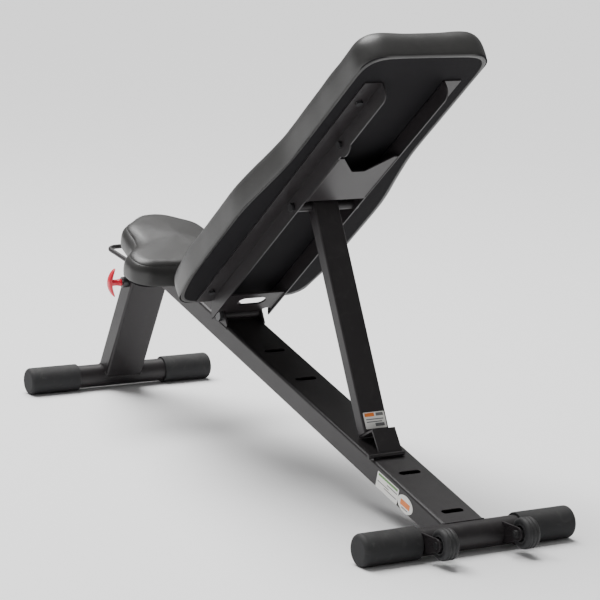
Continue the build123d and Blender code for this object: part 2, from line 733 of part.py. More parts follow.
# ---------------------------------------------------------------- carrying wheels
wheel_x = rear_x - wheel_back
wheel_z = base_z + wheel_rise
bracket_gap = wheel_width + 2 * wheel_play
for hand_name, hand in (("left", 1), ("right", -1)):
    wheel_y = hand * wheel_spread / 2
    with BuildPart() as wheel_bracket:
        for start_y in (wheel_y + bracket_gap / 2 + bracket_thickness, wheel_y - bracket_gap / 2):
            ear_plane = Plane(origin=(wheel_x, start_y, wheel_z), x_dir=(1, 0, 0), z_dir=(0, -1, 0))
            with BuildSketch(ear_plane):
                Circle(wheel_bolt_dia * 1.5)
                with BuildLine():
                    Polyline(
                        (0, wheel_bolt_dia * 1.5),
                        (wheel_back - 14, base_tube_dia / 2 - 3 - wheel_rise),
                        (wheel_back - 14, -base_tube_dia / 2 + 6 - wheel_rise),
                        (0, -wheel_bolt_dia * 1.5),
                        close=True,
                    )
                make_face()
                Circle(wheel_bolt_dia / 2 + running_fit, mode=Mode.SUBTRACT)
            extrude(amount=bracket_thickness)
        tube_core = disc(Plane.XZ, rear_x, base_z, base_tube_dia / 2)
        extrude(tube_core, amount=base_width, both=True, mode=Mode.SUBTRACT)
    save(wheel_bracket, f"wheel_bracket_{hand_name}")

    frame_at_wheel = tilted(wheel_x, wheel_z, 0)
    head_y = wheel_y + hand * (bracket_gap / 2 + bracket_thickness)
    nut_y = wheel_y - hand * (bracket_gap / 2 + bracket_thickness)
    end_y = nut_y - hand * wheel_bolt_dia
    with BuildPart() as wheel_bolt:
        head_plane = side_view(frame_at_wheel, head_y)
        extrude(disc(head_plane, 0, 0, wheel_bolt_dia / 2), amount=head_y - end_y)
        extrude(disc(head_plane, 0, 0, wheel_bolt_dia * 0.8), amount=-hand * wheel_bolt_head)
        nut = hexagon(side_view(frame_at_wheel, nut_y), 0, 0, wheel_bolt_dia)
        extrude(nut, amount=hand * wheel_bolt_dia * 0.8)
    save(wheel_bolt, f"wheel_bolt_{hand_name}")

    with BuildPart() as wheel_hub:
        hub_bore = wheel_bolt_dia / 2 + running_fit
        section = ring(side_view(frame_at_wheel, wheel_y), 0, 0, wheel_hub_dia / 2, hub_bore)
        extrude(section, amount=wheel_width / 2, both=True)
        for face_y, direction in ((wheel_y + wheel_width / 2, 1), (wheel_y - wheel_width / 2, -1)):
            dish = ring(side_view(frame_at_wheel, face_y), 0, 0, wheel_hub_dia / 2 - 3, wheel_bolt_dia)
            extrude(dish, amount=direction * wheel_width * 0.3, mode=Mode.SUBTRACT)
    save(wheel_hub, f"wheel_hub_{hand_name}")

    with BuildPart() as wheel_tyre:
        section = ring(side_view(frame_at_wheel, wheel_y), 0, 0, wheel_dia / 2, wheel_hub_dia / 2)
        extrude(section, amount=wheel_width / 2, both=True)
        rims = wheel_tyre.edges().filter_by(GeomType.CIRCLE).group_by(SortBy.RADIUS)[-1]
        fillet(rims, wheel_dia * 0.12)
    save(wheel_tyre, f"wheel_tyre_{hand_name}")

# ---------------------------------------------------------------- pull pin
pin_centre = at(post, pin_station, 0)
pin_frame = tilted(pin_centre.X, pin_centre.Z, 0)
wall_y = spine_width / 2
collar_end = wall_y + collar_length
with BuildPart() as pin_housing:
    extrude(disc(side_view(pin_frame, collar_end), 0, 0, collar_dia / 2), amount=collar_length)
    extrude(disc(side_view(pin_frame, wall_y), 0, 0, housing_dia / 2), amount=wall_y - housing_start)
    chamber = disc(side_view(pin_frame, collar_end - housing_lid), 0, 0, pin_tip_dia / 2 + slide_fit)
    extrude(chamber, amount=collar_end - housing_lid - housing_start, mode=Mode.SUBTRACT)
    shaft_hole = disc(side_view(pin_frame, collar_end), 0, 0, pin_shaft_dia / 2 + slide_fit)
    extrude(shaft_hole, amount=collar_length, mode=Mode.SUBTRACT)
save(pin_housing, "pin_housing")

stem_start = collar_end + 2
stem_end = knob_outer - 8
with BuildPart() as plunger_pin:
    extrude(disc(side_view(pin_frame, pin_tip_end), 0, 0, pin_tip_dia / 2), amount=pin_tip_end - pin_tip_start)
    extrude(disc(side_view(pin_frame, stem_end - 6), 0, 0, pin_shaft_dia / 2), amount=stem_end - 6 - pin_tip_end)
    chamfer(plunger_pin.edges().group_by(Axis.Y)[0], 2)
save(plunger_pin, "plunger_pin")

spring_start = pin_tip_end + spring_wire / 2 + 0.2
spring_end = collar_end - housing_lid - spring_wire / 2 - 0.2
spring_radius = (pin_tip_dia / 2 + pin_shaft_dia / 2) / 2
with BuildPart() as pin_spring:
    spring_base = Plane(origin=(pin_centre.X, spring_start, pin_centre.Z), z_dir=(0, 1, 0))
    spring_length = spring_end - spring_start
    coil = Helix(pitch=spring_length / spring_turns, height=spring_length, radius=spring_radius)
    coil_path = spring_base.location * coil
    with BuildSketch(Plane(origin=coil_path @ 0, z_dir=coil_path % 0)):
        Circle(spring_wire / 2)
    sweep(path=coil_path, is_frenet=True)
save(pin_spring, "pin_spring")

with BuildPart() as pull_knob:
    extrude(disc(side_view(pin_frame, stem_end), 0, 0, knob_stem_dia / 2), amount=stem_end - stem_start)
    knob_back = pin_centre.X - knob_width / 2
    knob_plane = Plane(origin=(knob_back, 0, pin_centre.Z), x_dir=(0, 1, 0), z_dir=(1, 0, 0))
    with BuildSketch(knob_plane):
        with BuildLine():
            tip_outer = (knob_outer - 11, knob_length / 2)
            tip_inner = (knob_outer - 15, knob_length / 2 - 1)
            ThreePointArc((tip_outer[0], -tip_outer[1]), (knob_outer, 0), tip_outer)
            Line(tip_outer, tip_inner)
            ThreePointArc(tip_inner, (knob_outer - 9, 0), (tip_inner[0], -tip_inner[1]))
            Line((tip_inner[0], -tip_inner[1]), (tip_outer[0], -tip_outer[1]))
        make_face()
    extrude(amount=knob_width)
    extrude(disc(side_view(pin_frame, stem_end - 6), 0, 0, pin_shaft_dia / 2), amount=stem_end, mode=Mode.SUBTRACT)
save(pull_knob, "pull_knob")

# ---------------------------------------------------------------- decals
with BuildPart() as side_label:
    with BuildSketch(side_view(spine, spine_width / 2)):
        with Locations((pivot_station - side_label_back, -spine_depth * 0.07)):
            RectangleRounded(side_label_length, side_label_height, 2)
    extrude(amount=-label_thickness)
save(side_label, "side_label")

with BuildPart() as oval_label:
    with BuildSketch(side_view(spine, spine_width / 2)):
        with Locations((pivot_station - oval_label_back, -spine_depth * 0.09)):
            Ellipse(oval_label_length / 2, oval_label_height / 2)
    extrude(amount=-label_thickness)
save(oval_label, "oval_label")

with BuildPart() as strut_label:
    with BuildSketch(strut.offset(strut_depth / 2)):
        with Locations((-strut_reach + 6 + strut_label_height / 2, 0)):
            RectangleRounded(strut_label_height, strut_label_width, 1.5)
    extrude(amount=label_thickness)
save(strut_label, "strut_label")

print("pivot", pivot, "axle", axle, "foot", foot)
print("back travel", round(back_travel, 3), "strut travel", round(strut_travel, 3))
print("strut ratio", round(strut_travel / back_travel, 4), "strut incline", round(strut_incline, 3))
print("pin", pin_centre, "wheels", wheel_x, wheel_spread / 2, wheel_z)
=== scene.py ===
"""Looks of the decline sit up bench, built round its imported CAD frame.

Lengths are metres. X runs from the carrying wheels to the seat, Y is the left side and Z is up.
"""

import json
import logging
import math
from dataclasses import dataclass, field
from enum import Enum

import bmesh
import bpy
import numpy as np
from mathutils import Matrix, Vector, noise


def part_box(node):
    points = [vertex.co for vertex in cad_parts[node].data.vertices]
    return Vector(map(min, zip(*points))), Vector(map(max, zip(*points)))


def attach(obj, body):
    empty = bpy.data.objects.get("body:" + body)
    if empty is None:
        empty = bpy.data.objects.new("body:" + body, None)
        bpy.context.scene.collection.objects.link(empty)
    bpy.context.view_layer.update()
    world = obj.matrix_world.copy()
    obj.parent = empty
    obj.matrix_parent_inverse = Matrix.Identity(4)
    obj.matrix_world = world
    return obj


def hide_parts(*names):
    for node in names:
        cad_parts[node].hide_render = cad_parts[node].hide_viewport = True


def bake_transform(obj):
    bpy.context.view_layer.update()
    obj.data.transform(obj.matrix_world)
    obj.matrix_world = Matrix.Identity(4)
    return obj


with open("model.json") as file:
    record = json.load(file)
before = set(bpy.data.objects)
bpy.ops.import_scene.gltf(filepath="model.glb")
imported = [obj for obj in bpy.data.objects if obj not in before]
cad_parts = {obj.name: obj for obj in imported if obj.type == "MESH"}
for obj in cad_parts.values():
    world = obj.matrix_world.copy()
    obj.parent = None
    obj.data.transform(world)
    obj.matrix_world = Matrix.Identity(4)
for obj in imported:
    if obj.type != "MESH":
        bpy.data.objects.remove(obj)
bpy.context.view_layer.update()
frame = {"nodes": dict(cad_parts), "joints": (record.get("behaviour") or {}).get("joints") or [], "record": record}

LOG = logging.getLogger("bench")
MM = 0.001
SPINE_SLOPE = math.radians(13.83)
BACK_RISE = math.radians(39.28)
HINGE_DROP = 29.2 * MM
SPINE_TOP = 22.5 * MM
SPINE_HALF_WIDTH = 45.0 * MM
BASE_TUBE_RADIUS = 25.4 * MM
BRACKET_THICKNESS = 4.0 * MM
POST_RISE_PER_RUN = 1.897
STRUT_INCLINE = math.radians(62.038)
SHADE_RANGE = 1.35
SCUFF_ROUGHENING = 0.25
DUST_COLOUR = (0.32, 0.31, 0.29)


class Slot(Enum):
    """Material slots of the record."""

    POWDER_COAT = "powder_coat"
    SLEEVE_RUBBER = "sleeve_rubber"
    TYRE_RUBBER = "tyre_rubber"
    HUB_PLASTIC = "hub_plastic"
    VINYL = "vinyl"
    BOARD = "board_black"
    BLACK_BOLT = "black_bolt"
    BRIGHT_STEEL = "bright_steel"
    KNOB_RED = "knob_red"
    LABEL = "label_white"


class Body(Enum):
    """Bodies that pieces ride on."""

    ROOT = "root"
    BACK = "backrest"
    STRUT = "strut"
    PIN = "pull_pin"
    LEFT_WHEEL = "left_wheel"
    RIGHT_WHEEL = "right_wheel"


@dataclass(frozen=True)
class LocalFrame:
    """A frame in the bench's middle plane: `along` climbs, `up` is square to it, Y is the side."""

    origin: Vector
    incline: float

    @property
    def along(self) -> Vector:
        """Direction of the frame's first axis."""
        return Vector((math.cos(self.incline), 0, math.sin(self.incline)))

    @property
    def up(self) -> Vector:
        """Direction of the frame's third axis."""
        return Vector((-math.sin(self.incline), 0, math.cos(self.incline)))

    def point(self, along: float, side: float, up: float) -> Vector:
        """The point at these three distances."""
        return self.origin + self.along * along + Vector((0, side, 0)) + self.up * up

    def local(self, point: Vector) -> Vector:
        """A point's distances along, to the side and up."""
        away = Vector(point) - self.origin
        return Vector((away.dot(self.along), away.y, away.dot(self.up)))


def joint_place(name: str) -> Vector:
    """Where a joint's axis passes.

    Args:
        name: The joint's name in the record.

    Returns:
        The point in the row frame.
    """
    for joint in frame["joints"]:
        if joint["name"] == name:
            return Vector(joint["pos_m"])
    raise KeyError(name)


def middle(node: str) -> Vector:
    """The middle of a CAD node's box."""
    low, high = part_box(node)
    return (Vector(low) + Vector(high)) / 2


HINGE = joint_place("back_hinge")
REAR_TUBE = middle("rear_base_tube")
FRONT_TUBE = middle("front_base_tube")
SPINE = LocalFrame(Vector((REAR_TUBE.x, 0, REAR_TUBE.z)), SPINE_SLOPE)
BACK_ORIGIN = HINGE + Vector((math.sin(BACK_RISE), 0, math.cos(BACK_RISE))) * HINGE_DROP
BACK = LocalFrame(BACK_ORIGIN, math.pi - BACK_RISE)


# ------------------------------------------------------------------ shader groups
def new_group(name: str, inputs: list[tuple], outputs: list[tuple]) -> bpy.types.NodeTree:
    """An empty shader group with sockets.

    Args:
        name: The group's name.
        inputs: Name, socket type and default of each input.
        outputs: Name and socket type of each output.

    Returns:
        The group, with its input and output nodes placed.
    """
    group = bpy.data.node_groups.new(name, "ShaderNodeTree")
    for label, kind, value in inputs:
        socket = group.interface.new_socket(label, in_out="INPUT", socket_type=kind)
        if value is not None:
            socket.default_value = value
    for label, kind in outputs:
        group.interface.new_socket(label, in_out="OUTPUT", socket_type=kind)
    group.nodes.new("NodeGroupInput").name = "In"
    group.nodes.new("NodeGroupOutput").name = "Out"
    return group


def math_node(tree: bpy.types.NodeTree, operation: str, first, second=0.5, third=None):
    """A math node fed by sockets or numbers.

    Args:
        tree: The tree that gets the node.
        operation: The node's operation.
        first: First input, a socket or a number.
        second: Second input, a socket or a number.
        third: Third input, where the operation has one.

    Returns:
        The node's output socket.
    """
    node = tree.nodes.new("ShaderNodeMath")
    node.operation = operation
    for index, value in enumerate((first, second, third)):
        if value is None:
            continue
        if isinstance(value, (int, float)):
            node.inputs[index].default_value = value
        else:
            tree.links.new(value, node.inputs[index])
    return node.outputs[0]


FLOAT = "NodeSocketFloat"
COLOR = "NodeSocketColor"
VECTOR = "NodeSocketVector"


def build_grain_group() -> bpy.types.NodeTree:
    """Fine grain: leather cells mixed with noise, as a height, and a soft colour variation."""
    group = new_group(
        "fine_grain",
        [("Vector", VECTOR, None), ("Cell Scale", FLOAT, 700.0),
         ("Noise Scale", FLOAT, 1200.0), ("Cells", FLOAT, 0.5)],
        [("Height", FLOAT), ("Variation", FLOAT)],
    )
    nodes, links = group.nodes, group.links
    source, result = nodes["In"], nodes["Out"]
    cells = nodes.new("ShaderNodeTexVoronoi")
    cells.feature = "SMOOTH_F1"
    cells.inputs["Smoothness"].default_value = 0.6
    fine = nodes.new("ShaderNodeTexNoise")
    fine.inputs["Detail"].default_value = 3.0
    broad = nodes.new("ShaderNodeTexNoise")
    broad.inputs["Scale"].default_value = 9.0
    broad.inputs["Detail"].default_value = 4.0
    for texture in (cells, fine, broad):
        links.new(source.outputs["Vector"], texture.inputs["Vector"])
    links.new(source.outputs["Cell Scale"], cells.inputs["Scale"])
    links.new(source.outputs["Noise Scale"], fine.inputs["Scale"])
    cell_part = math_node(group, "MULTIPLY", cells.outputs["Distance"], source.outputs["Cells"])
    noise_share = math_node(group, "SUBTRACT", 1.0, source.outputs["Cells"])
    noise_part = math_node(group, "MULTIPLY", fine.outputs["Fac"], noise_share)
    links.new(math_node(group, "ADD", cell_part, noise_part), result.inputs["Height"])
    links.new(broad.outputs["Fac"], result.inputs["Variation"])
    return group


def build_wear_group() -> bpy.types.NodeTree:
    """Handling wear: scattered dull scuffs and a little settled dust on faces that look up."""
    group = new_group(
        "scuffs_and_dust",
        [("Vector", VECTOR, None), ("Scuffs", FLOAT, 0.3), ("Dust", FLOAT, 0.2)],
        [("Scuff", FLOAT), ("Dust", FLOAT)],
    )
    nodes, links = group.nodes, group.links
    source, result = nodes["In"], nodes["Out"]
    streaks = nodes.new("ShaderNodeTexNoise")
    streaks.inputs["Scale"].default_value = 38.0
    streaks.inputs["Detail"].default_value = 8.0
    streaks.inputs["Distortion"].default_value = 1.4
    links.new(source.outputs["Vector"], streaks.inputs["Vector"])
    raised = math_node(group, "SUBTRACT", streaks.outputs["Fac"], 0.58)
    sharp = math_node(group, "MULTIPLY", raised, 7.0)
    bounded = nodes.new("ShaderNodeClamp")
    links.new(sharp, bounded.inputs["Value"])
    scuffed = math_node(group, "MULTIPLY", bounded.outputs[0], source.outputs["Scuffs"])
    links.new(scuffed, result.inputs["Scuff"])
    geometry = nodes.new("ShaderNodeNewGeometry")
    parts = nodes.new("ShaderNodeSeparateXYZ")
    links.new(geometry.outputs["Normal"], parts.inputs[0])
    upward = nodes.new("ShaderNodeClamp")
    links.new(parts.outputs["Z"], upward.inputs["Value"])
    cloud = math_node(group, "MULTIPLY", upward.outputs[0], streaks.outputs["Fac"])
    links.new(math_node(group, "MULTIPLY", cloud, source.outputs["Dust"]), result.inputs["Dust"])
    return group


def build_weave_group() -> bpy.types.NodeTree:
    """A plain weave of crossed threads, as a height."""
    group = new_group(
        "plain_weave", [("Vector", VECTOR, None), ("Threads", FLOAT, 900.0)], [("Height", FLOAT)]
    )
    nodes, links = group.nodes, group.links
    source, result = nodes["In"], nodes["Out"]
    parts = nodes.new("ShaderNodeSeparateXYZ")
    links.new(source.outputs["Vector"], parts.inputs[0])
    waves = []
    for axis in ("X", "Y"):
        phase = math_node(group, "MULTIPLY", parts.outputs[axis], source.outputs["Threads"])
        waves.append(math_node(group, "SINE", phase, 0.0))
    crossed = math_node(group, "MULTIPLY", waves[0], waves[1])
    links.new(math_node(group, "MULTIPLY_ADD", crossed, 0.5, 0.5), result.inputs["Height"])
    return group


def build_block_group() -> bpy.types.NodeTree:
    """A rectangle on a flat decal, as a mask."""
    group = new_group(
        "printed_block",
        [("Vector", VECTOR, None), ("Centre X", FLOAT, 0.0), ("Centre Y", FLOAT, 0.0),
         ("Half X", FLOAT, 0.01), ("Half Y", FLOAT, 0.01)],
        [("Mask", FLOAT)],
    )
    nodes, links = group.nodes, group.links
    source, result = nodes["In"], nodes["Out"]
    parts = nodes.new("ShaderNodeSeparateXYZ")
    links.new(source.outputs["Vector"], parts.inputs[0])
    inside = []
    for axis in ("X", "Y"):
        away = math_node(group, "SUBTRACT", parts.outputs[axis], source.outputs[f"Centre {axis}"])
        distance = math_node(group, "ABSOLUTE", away, 0.0)
        inside.append(math_node(group, "LESS_THAN", distance, source.outputs[f"Half {axis}"]))
    links.new(math_node(group, "MULTIPLY", inside[0], inside[1]), result.inputs["Mask"])
    return group


class Groups:
    """The shader groups, built once."""

    def __init__(self) -> None:
        """Build every group."""
        self.grain = build_grain_group()
        self.wear = build_wear_group()
        self.weave = build_weave_group()
        self.block = build_block_group()


def place_group(tree: bpy.types.NodeTree, group: bpy.types.NodeTree, vector, values: dict) -> bpy.types.Node:
    """Put a shader group in a material.

    Args:
        tree: The material's tree.
        group: The group.
        vector: The socket that feeds its Vector input.
        values: Its other inputs by name.

    Returns:
        The group's node.
    """
    node = tree.nodes.new("ShaderNodeGroup")
    node.node_tree = group
    tree.links.new(vector, node.inputs["Vector"])
    for label, value in values.items():
        node.inputs[label].default_value = value
    return node


def mixed_colour(tree: bpy.types.NodeTree, factor, first, second):
    """A colour between two, by a factor socket.

    Args:
        tree: The material's tree.
        factor: The mixing factor's socket.
        first: Colour at factor 0, a socket or RGB.
        second: Colour at factor 1, a socket or RGB.

    Returns:
        The colour's output socket.
    """
    mix = tree.nodes.new("ShaderNodeMix")
    mix.data_type = "RGBA"
    tree.links.new(factor, mix.inputs["Factor"])
    for label, value in (("A", first), ("B", second)):
        socket = [s for s in mix.inputs if s.name == label and s.type == "RGBA"][0]
        if isinstance(value, tuple):
            socket.default_value = (*value, 1.0)
        else:
            tree.links.new(value, socket)
    return [s for s in mix.outputs if s.type == "RGBA"][0]


# ------------------------------------------------------------------ finishes
@dataclass(frozen=True)
class Finish:
    """One surface finish, made as a procedural material."""

    name: str
    colour: tuple[float, float, float]
    worn: tuple[float, float, float]
    roughness: float
    spread: float = 0.1
    metallic: float = 0.0
    specular: float = 0.5
    cells: float = 0.0
    cell_scale: float = 700.0
    noise_scale: float = 1400.0
    bump: float = 0.0002
    bump_strength: float = 0.5
    scuffs: float = 0.3
    dust: float = 0.1
    threads: float = 0.0
    coat: float = 0.0
    coat_roughness: float = 0.2
    sheen: float = 0.0

    def material(self, groups: Groups) -> bpy.types.Material:
        """Build the material's nodes.

        Args:
            groups: The shared shader groups.

        Returns:
            The material.
        """
        made = bpy.data.materials.new(self.name)
        made.use_nodes = True
        tree = made.node_tree
        shader = tree.nodes["Principled BSDF"]
        place = tree.nodes.new("ShaderNodeTexCoord").outputs["Object"]
        grain = place_group(
            tree, groups.grain, place,
            {"Cell Scale": self.cell_scale, "Noise Scale": self.noise_scale, "Cells": self.cells},
        )
        wear = place_group(tree, groups.wear, place, {"Scuffs": self.scuffs, "Dust": self.dust})
        paler = tuple(c * SHADE_RANGE for c in self.colour)
        shade = mixed_colour(tree, grain.outputs["Variation"], self.colour, paler)
        rubbed = mixed_colour(tree, wear.outputs["Scuff"], shade, self.worn)
        dusty = mixed_colour(tree, wear.outputs["Dust"], rubbed, DUST_COLOUR)
        tree.links.new(dusty, shader.inputs["Base Color"])
        smoothest = self.roughness - self.spread / 2
        rough = math_node(tree, "MULTIPLY_ADD", grain.outputs["Variation"], self.spread, smoothest)
        rougher = math_node(tree, "MULTIPLY_ADD", wear.outputs["Scuff"], SCUFF_ROUGHENING, rough)
        tree.links.new(rougher, shader.inputs["Roughness"])
        shader.inputs["Metallic"].default_value = self.metallic
        shader.inputs["Specular IOR Level"].default_value = self.specular
        shader.inputs["Coat Weight"].default_value = self.coat
        shader.inputs["Coat Roughness"].default_value = self.coat_roughness
        shader.inputs["Sheen Weight"].default_value = self.sheen
        height = grain.outputs["Height"]
        if self.threads:
            height = place_group(tree, groups.weave, place, {"Threads": self.threads}).outputs["Height"]
        bump = tree.nodes.new("ShaderNodeBump")
        bump.inputs["Strength"].default_value = self.bump_strength
        bump.inputs["Distance"].default_value = self.bump
        tree.links.new(height, bump.inputs["Height"])
        tree.links.new(bump.outputs["Normal"], shader.inputs["Normal"])
        return made


@dataclass(frozen=True)
class Decal:
    """A blank printed decal: a pale sticker with plain colour blocks and grey bars."""

    name: str
    centre: Vector
    incline: float
    faces_side: bool
    blocks: tuple = ()

    def material(self, groups: Groups) -> bpy.types.Material:
        """Build the decal's material.

        Args:
            groups: The shared shader groups.

        Returns:
            The material.
        """
        made = bpy.data.materials.new(self.name)
        made.use_nodes = True
        tree = made.node_tree
        shader = tree.nodes["Principled BSDF"]
        place = tree.nodes.new("ShaderNodeTexCoord").outputs["Object"]
        turn = tree.nodes.new("ShaderNodeMapping")
        turn.vector_type = "POINT"
        along = Vector((math.cos(self.incline), 0, math.sin(self.incline)))
        across = Vector((0, 1, 0))
        if self.faces_side:
            across = Vector((-math.sin(self.incline), 0, math.cos(self.incline)))
        basis = Matrix((along, across, along.cross(across)))
        turn.inputs["Rotation"].default_value = basis.to_euler()
        turn.inputs["Location"].default_value = -(basis @ self.centre)
        tree.links.new(place, turn.inputs["Vector"])
        grain = place_group(tree, groups.grain, place, {"Cells": 0.0, "Noise Scale": 500.0})
        colour = mixed_colour(tree, grain.outputs["Variation"], (0.74, 0.73, 0.69), (0.84, 0.83, 0.80))
        for (x, y, half_x, half_y), ink in self.blocks:
            sizes = {"Centre X": x, "Centre Y": y, "Half X": half_x, "Half Y": half_y}
            block = place_group(tree, groups.block, turn.outputs["Vector"], sizes)
            colour = mixed_colour(tree, block.outputs["Mask"], colour, ink)
        tree.links.new(colour, shader.inputs["Base Color"])
        shader.inputs["Roughness"].default_value = 0.38
        bump = tree.nodes.new("ShaderNodeBump")
        bump.inputs["Distance"].default_value = 0.00005
        tree.links.new(grain.outputs["Height"], bump.inputs["Height"])
        tree.links.new(bump.outputs["Normal"], shader.inputs["Normal"])
        return made


FINISHES = {
    Slot.POWDER_COAT: Finish(
        "black_powder_coat", (0.013, 0.011, 0.012), (0.04, 0.037, 0.038), 0.42, 0.12,
        specular=0.38, noise_scale=1500.0, bump=0.00025, bump_strength=0.45, scuffs=0.22, dust=0.05,
    ),
    Slot.SLEEVE_RUBBER: Finish(
        "matte_sleeve_rubber", (0.014, 0.014, 0.015), (0.05, 0.05, 0.05), 0.72, 0.12,
        specular=0.35, noise_scale=900.0, bump=0.0003, bump_strength=0.6, scuffs=0.4, dust=0.12,
    ),
    Slot.TYRE_RUBBER: Finish(
        "wheel_rubber", (0.013, 0.013, 0.014), (0.05, 0.05, 0.05), 0.6, 0.15,
        specular=0.4, noise_scale=1100.0, bump=0.0002, scuffs=0.5, dust=0.1,
    ),
    Slot.HUB_PLASTIC: Finish(
        "moulded_black_plastic", (0.022, 0.022, 0.023), (0.06, 0.06, 0.06), 0.5, 0.1,
        noise_scale=700.0, bump=0.0001, scuffs=0.25, dust=0.1,
    ),
    Slot.VINYL: Finish(
        "grained_black_vinyl", (0.016, 0.0155, 0.015), (0.038, 0.037, 0.036), 0.42, 0.14,
        specular=0.42, cells=0.8, cell_scale=620.0, noise_scale=1700.0, bump=0.00035, bump_strength=0.5,
        scuffs=0.15, dust=0.06, coat=0.18, coat_roughness=0.32,
    ),
    Slot.BOARD: Finish(
        "black_backing_cloth", (0.0075, 0.007, 0.008), (0.02, 0.02, 0.021), 0.85, 0.1,
        specular=0.12, threads=4200.0, bump=0.0002, bump_strength=0.35, scuffs=0.3, dust=0.05,
    ),
    Slot.BLACK_BOLT: Finish(
        "black_oxide_steel", (0.05, 0.05, 0.052), (0.22, 0.21, 0.2), 0.34, 0.15,
        metallic=0.75, noise_scale=2200.0, bump=0.0001, scuffs=0.5, dust=0.05,
    ),
    Slot.BRIGHT_STEEL: Finish(
        "plated_steel", (0.50, 0.50, 0.49), (0.30, 0.29, 0.27), 0.28, 0.15,
        metallic=1.0, noise_scale=2600.0, bump=0.00008, scuffs=0.3, dust=0.05,
    ),
    Slot.KNOB_RED: Finish(
        "red_moulded_plastic", (0.62, 0.012, 0.035), (0.5, 0.05, 0.06), 0.28, 0.1,
        noise_scale=900.0, bump=0.00008, bump_strength=0.3, scuffs=0.15, dust=0.03,
        coat=0.3, coat_roughness=0.12,
    ),
}


# ------------------------------------------------------------------ mesh helpers
def link_mesh(name: str, mesh: bpy.types.Mesh) -> bpy.types.Object:
    """Put a mesh in the scene as an object at the origin."""
    made = bpy.data.objects.new(name, mesh)
    bpy.context.scene.collection.objects.link(made)
    return made


def mesh_from(name: str, points: list, faces: list) -> bpy.types.Object:
    """A closed mesh whose faces look outward.

    Args:
        name: The object's name.
        points: Vertex places.
        faces: Vertex indices of each face.

    Returns:
        The object.
    """
    mesh = bpy.data.meshes.new(name)
    mesh.from_pydata([tuple(p) for p in points], [], faces)
    build = bmesh.new()
    build.from_mesh(mesh)
    bmesh.ops.remove_doubles(build, verts=build.verts, dist=1e-6)
    bmesh.ops.recalc_face_normals(build, faces=build.faces)
    build.to_mesh(mesh)
    build.free()
    mesh.polygons.foreach_set("use_smooth", [True] * len(mesh.polygons))
    return link_mesh(name, mesh)


def ring_faces(spans: int, sides: int) -> list[tuple]:
    """Quads between rings of points that follow one another.

    Args:
        spans: How many gaps there are between rings.
        sides: Points round each ring.

    Returns:
        Vertex indices of each quad.
    """
    faces = []
    for start in range(0, spans * sides, sides):
        for side in range(sides):
            after = (side + 1) % sides
            faces.append((start + side, start + after, start + sides + after, start + sides + side))
    return faces


def capped_faces(spans: int, sides: int) -> list[tuple]:
    """The quads between rings and a face over each end."""
    last = spans * sides
    return ring_faces(spans, sides) + [tuple(range(sides)), tuple(range(last, last + sides))]


def finished_mesh(piece: bpy.types.Object) -> bpy.types.Object:
    """Turn an object's modifiers into plain mesh and remove them."""
    graph = bpy.context.evaluated_depsgraph_get()
    mesh = bpy.data.meshes.new_from_object(piece.evaluated_get(graph))
    piece.modifiers.clear()
    piece.data = mesh
    return piece


def give(piece: bpy.types.Object, material: bpy.types.Material, body: Body) -> None:
    """Dress a new piece and put it on its body.

    Args:
        piece: The piece.
        material: Its material.
        body: The body it rides on.
    """
    piece.data.materials.clear()
    piece.data.materials.append(material)
    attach(piece, body.value)


# ------------------------------------------------------------------ repeats along a path
class Bead(Enum):
    """What is repeated along a path."""

    WELD = "weld"
    STITCH = "stitch"


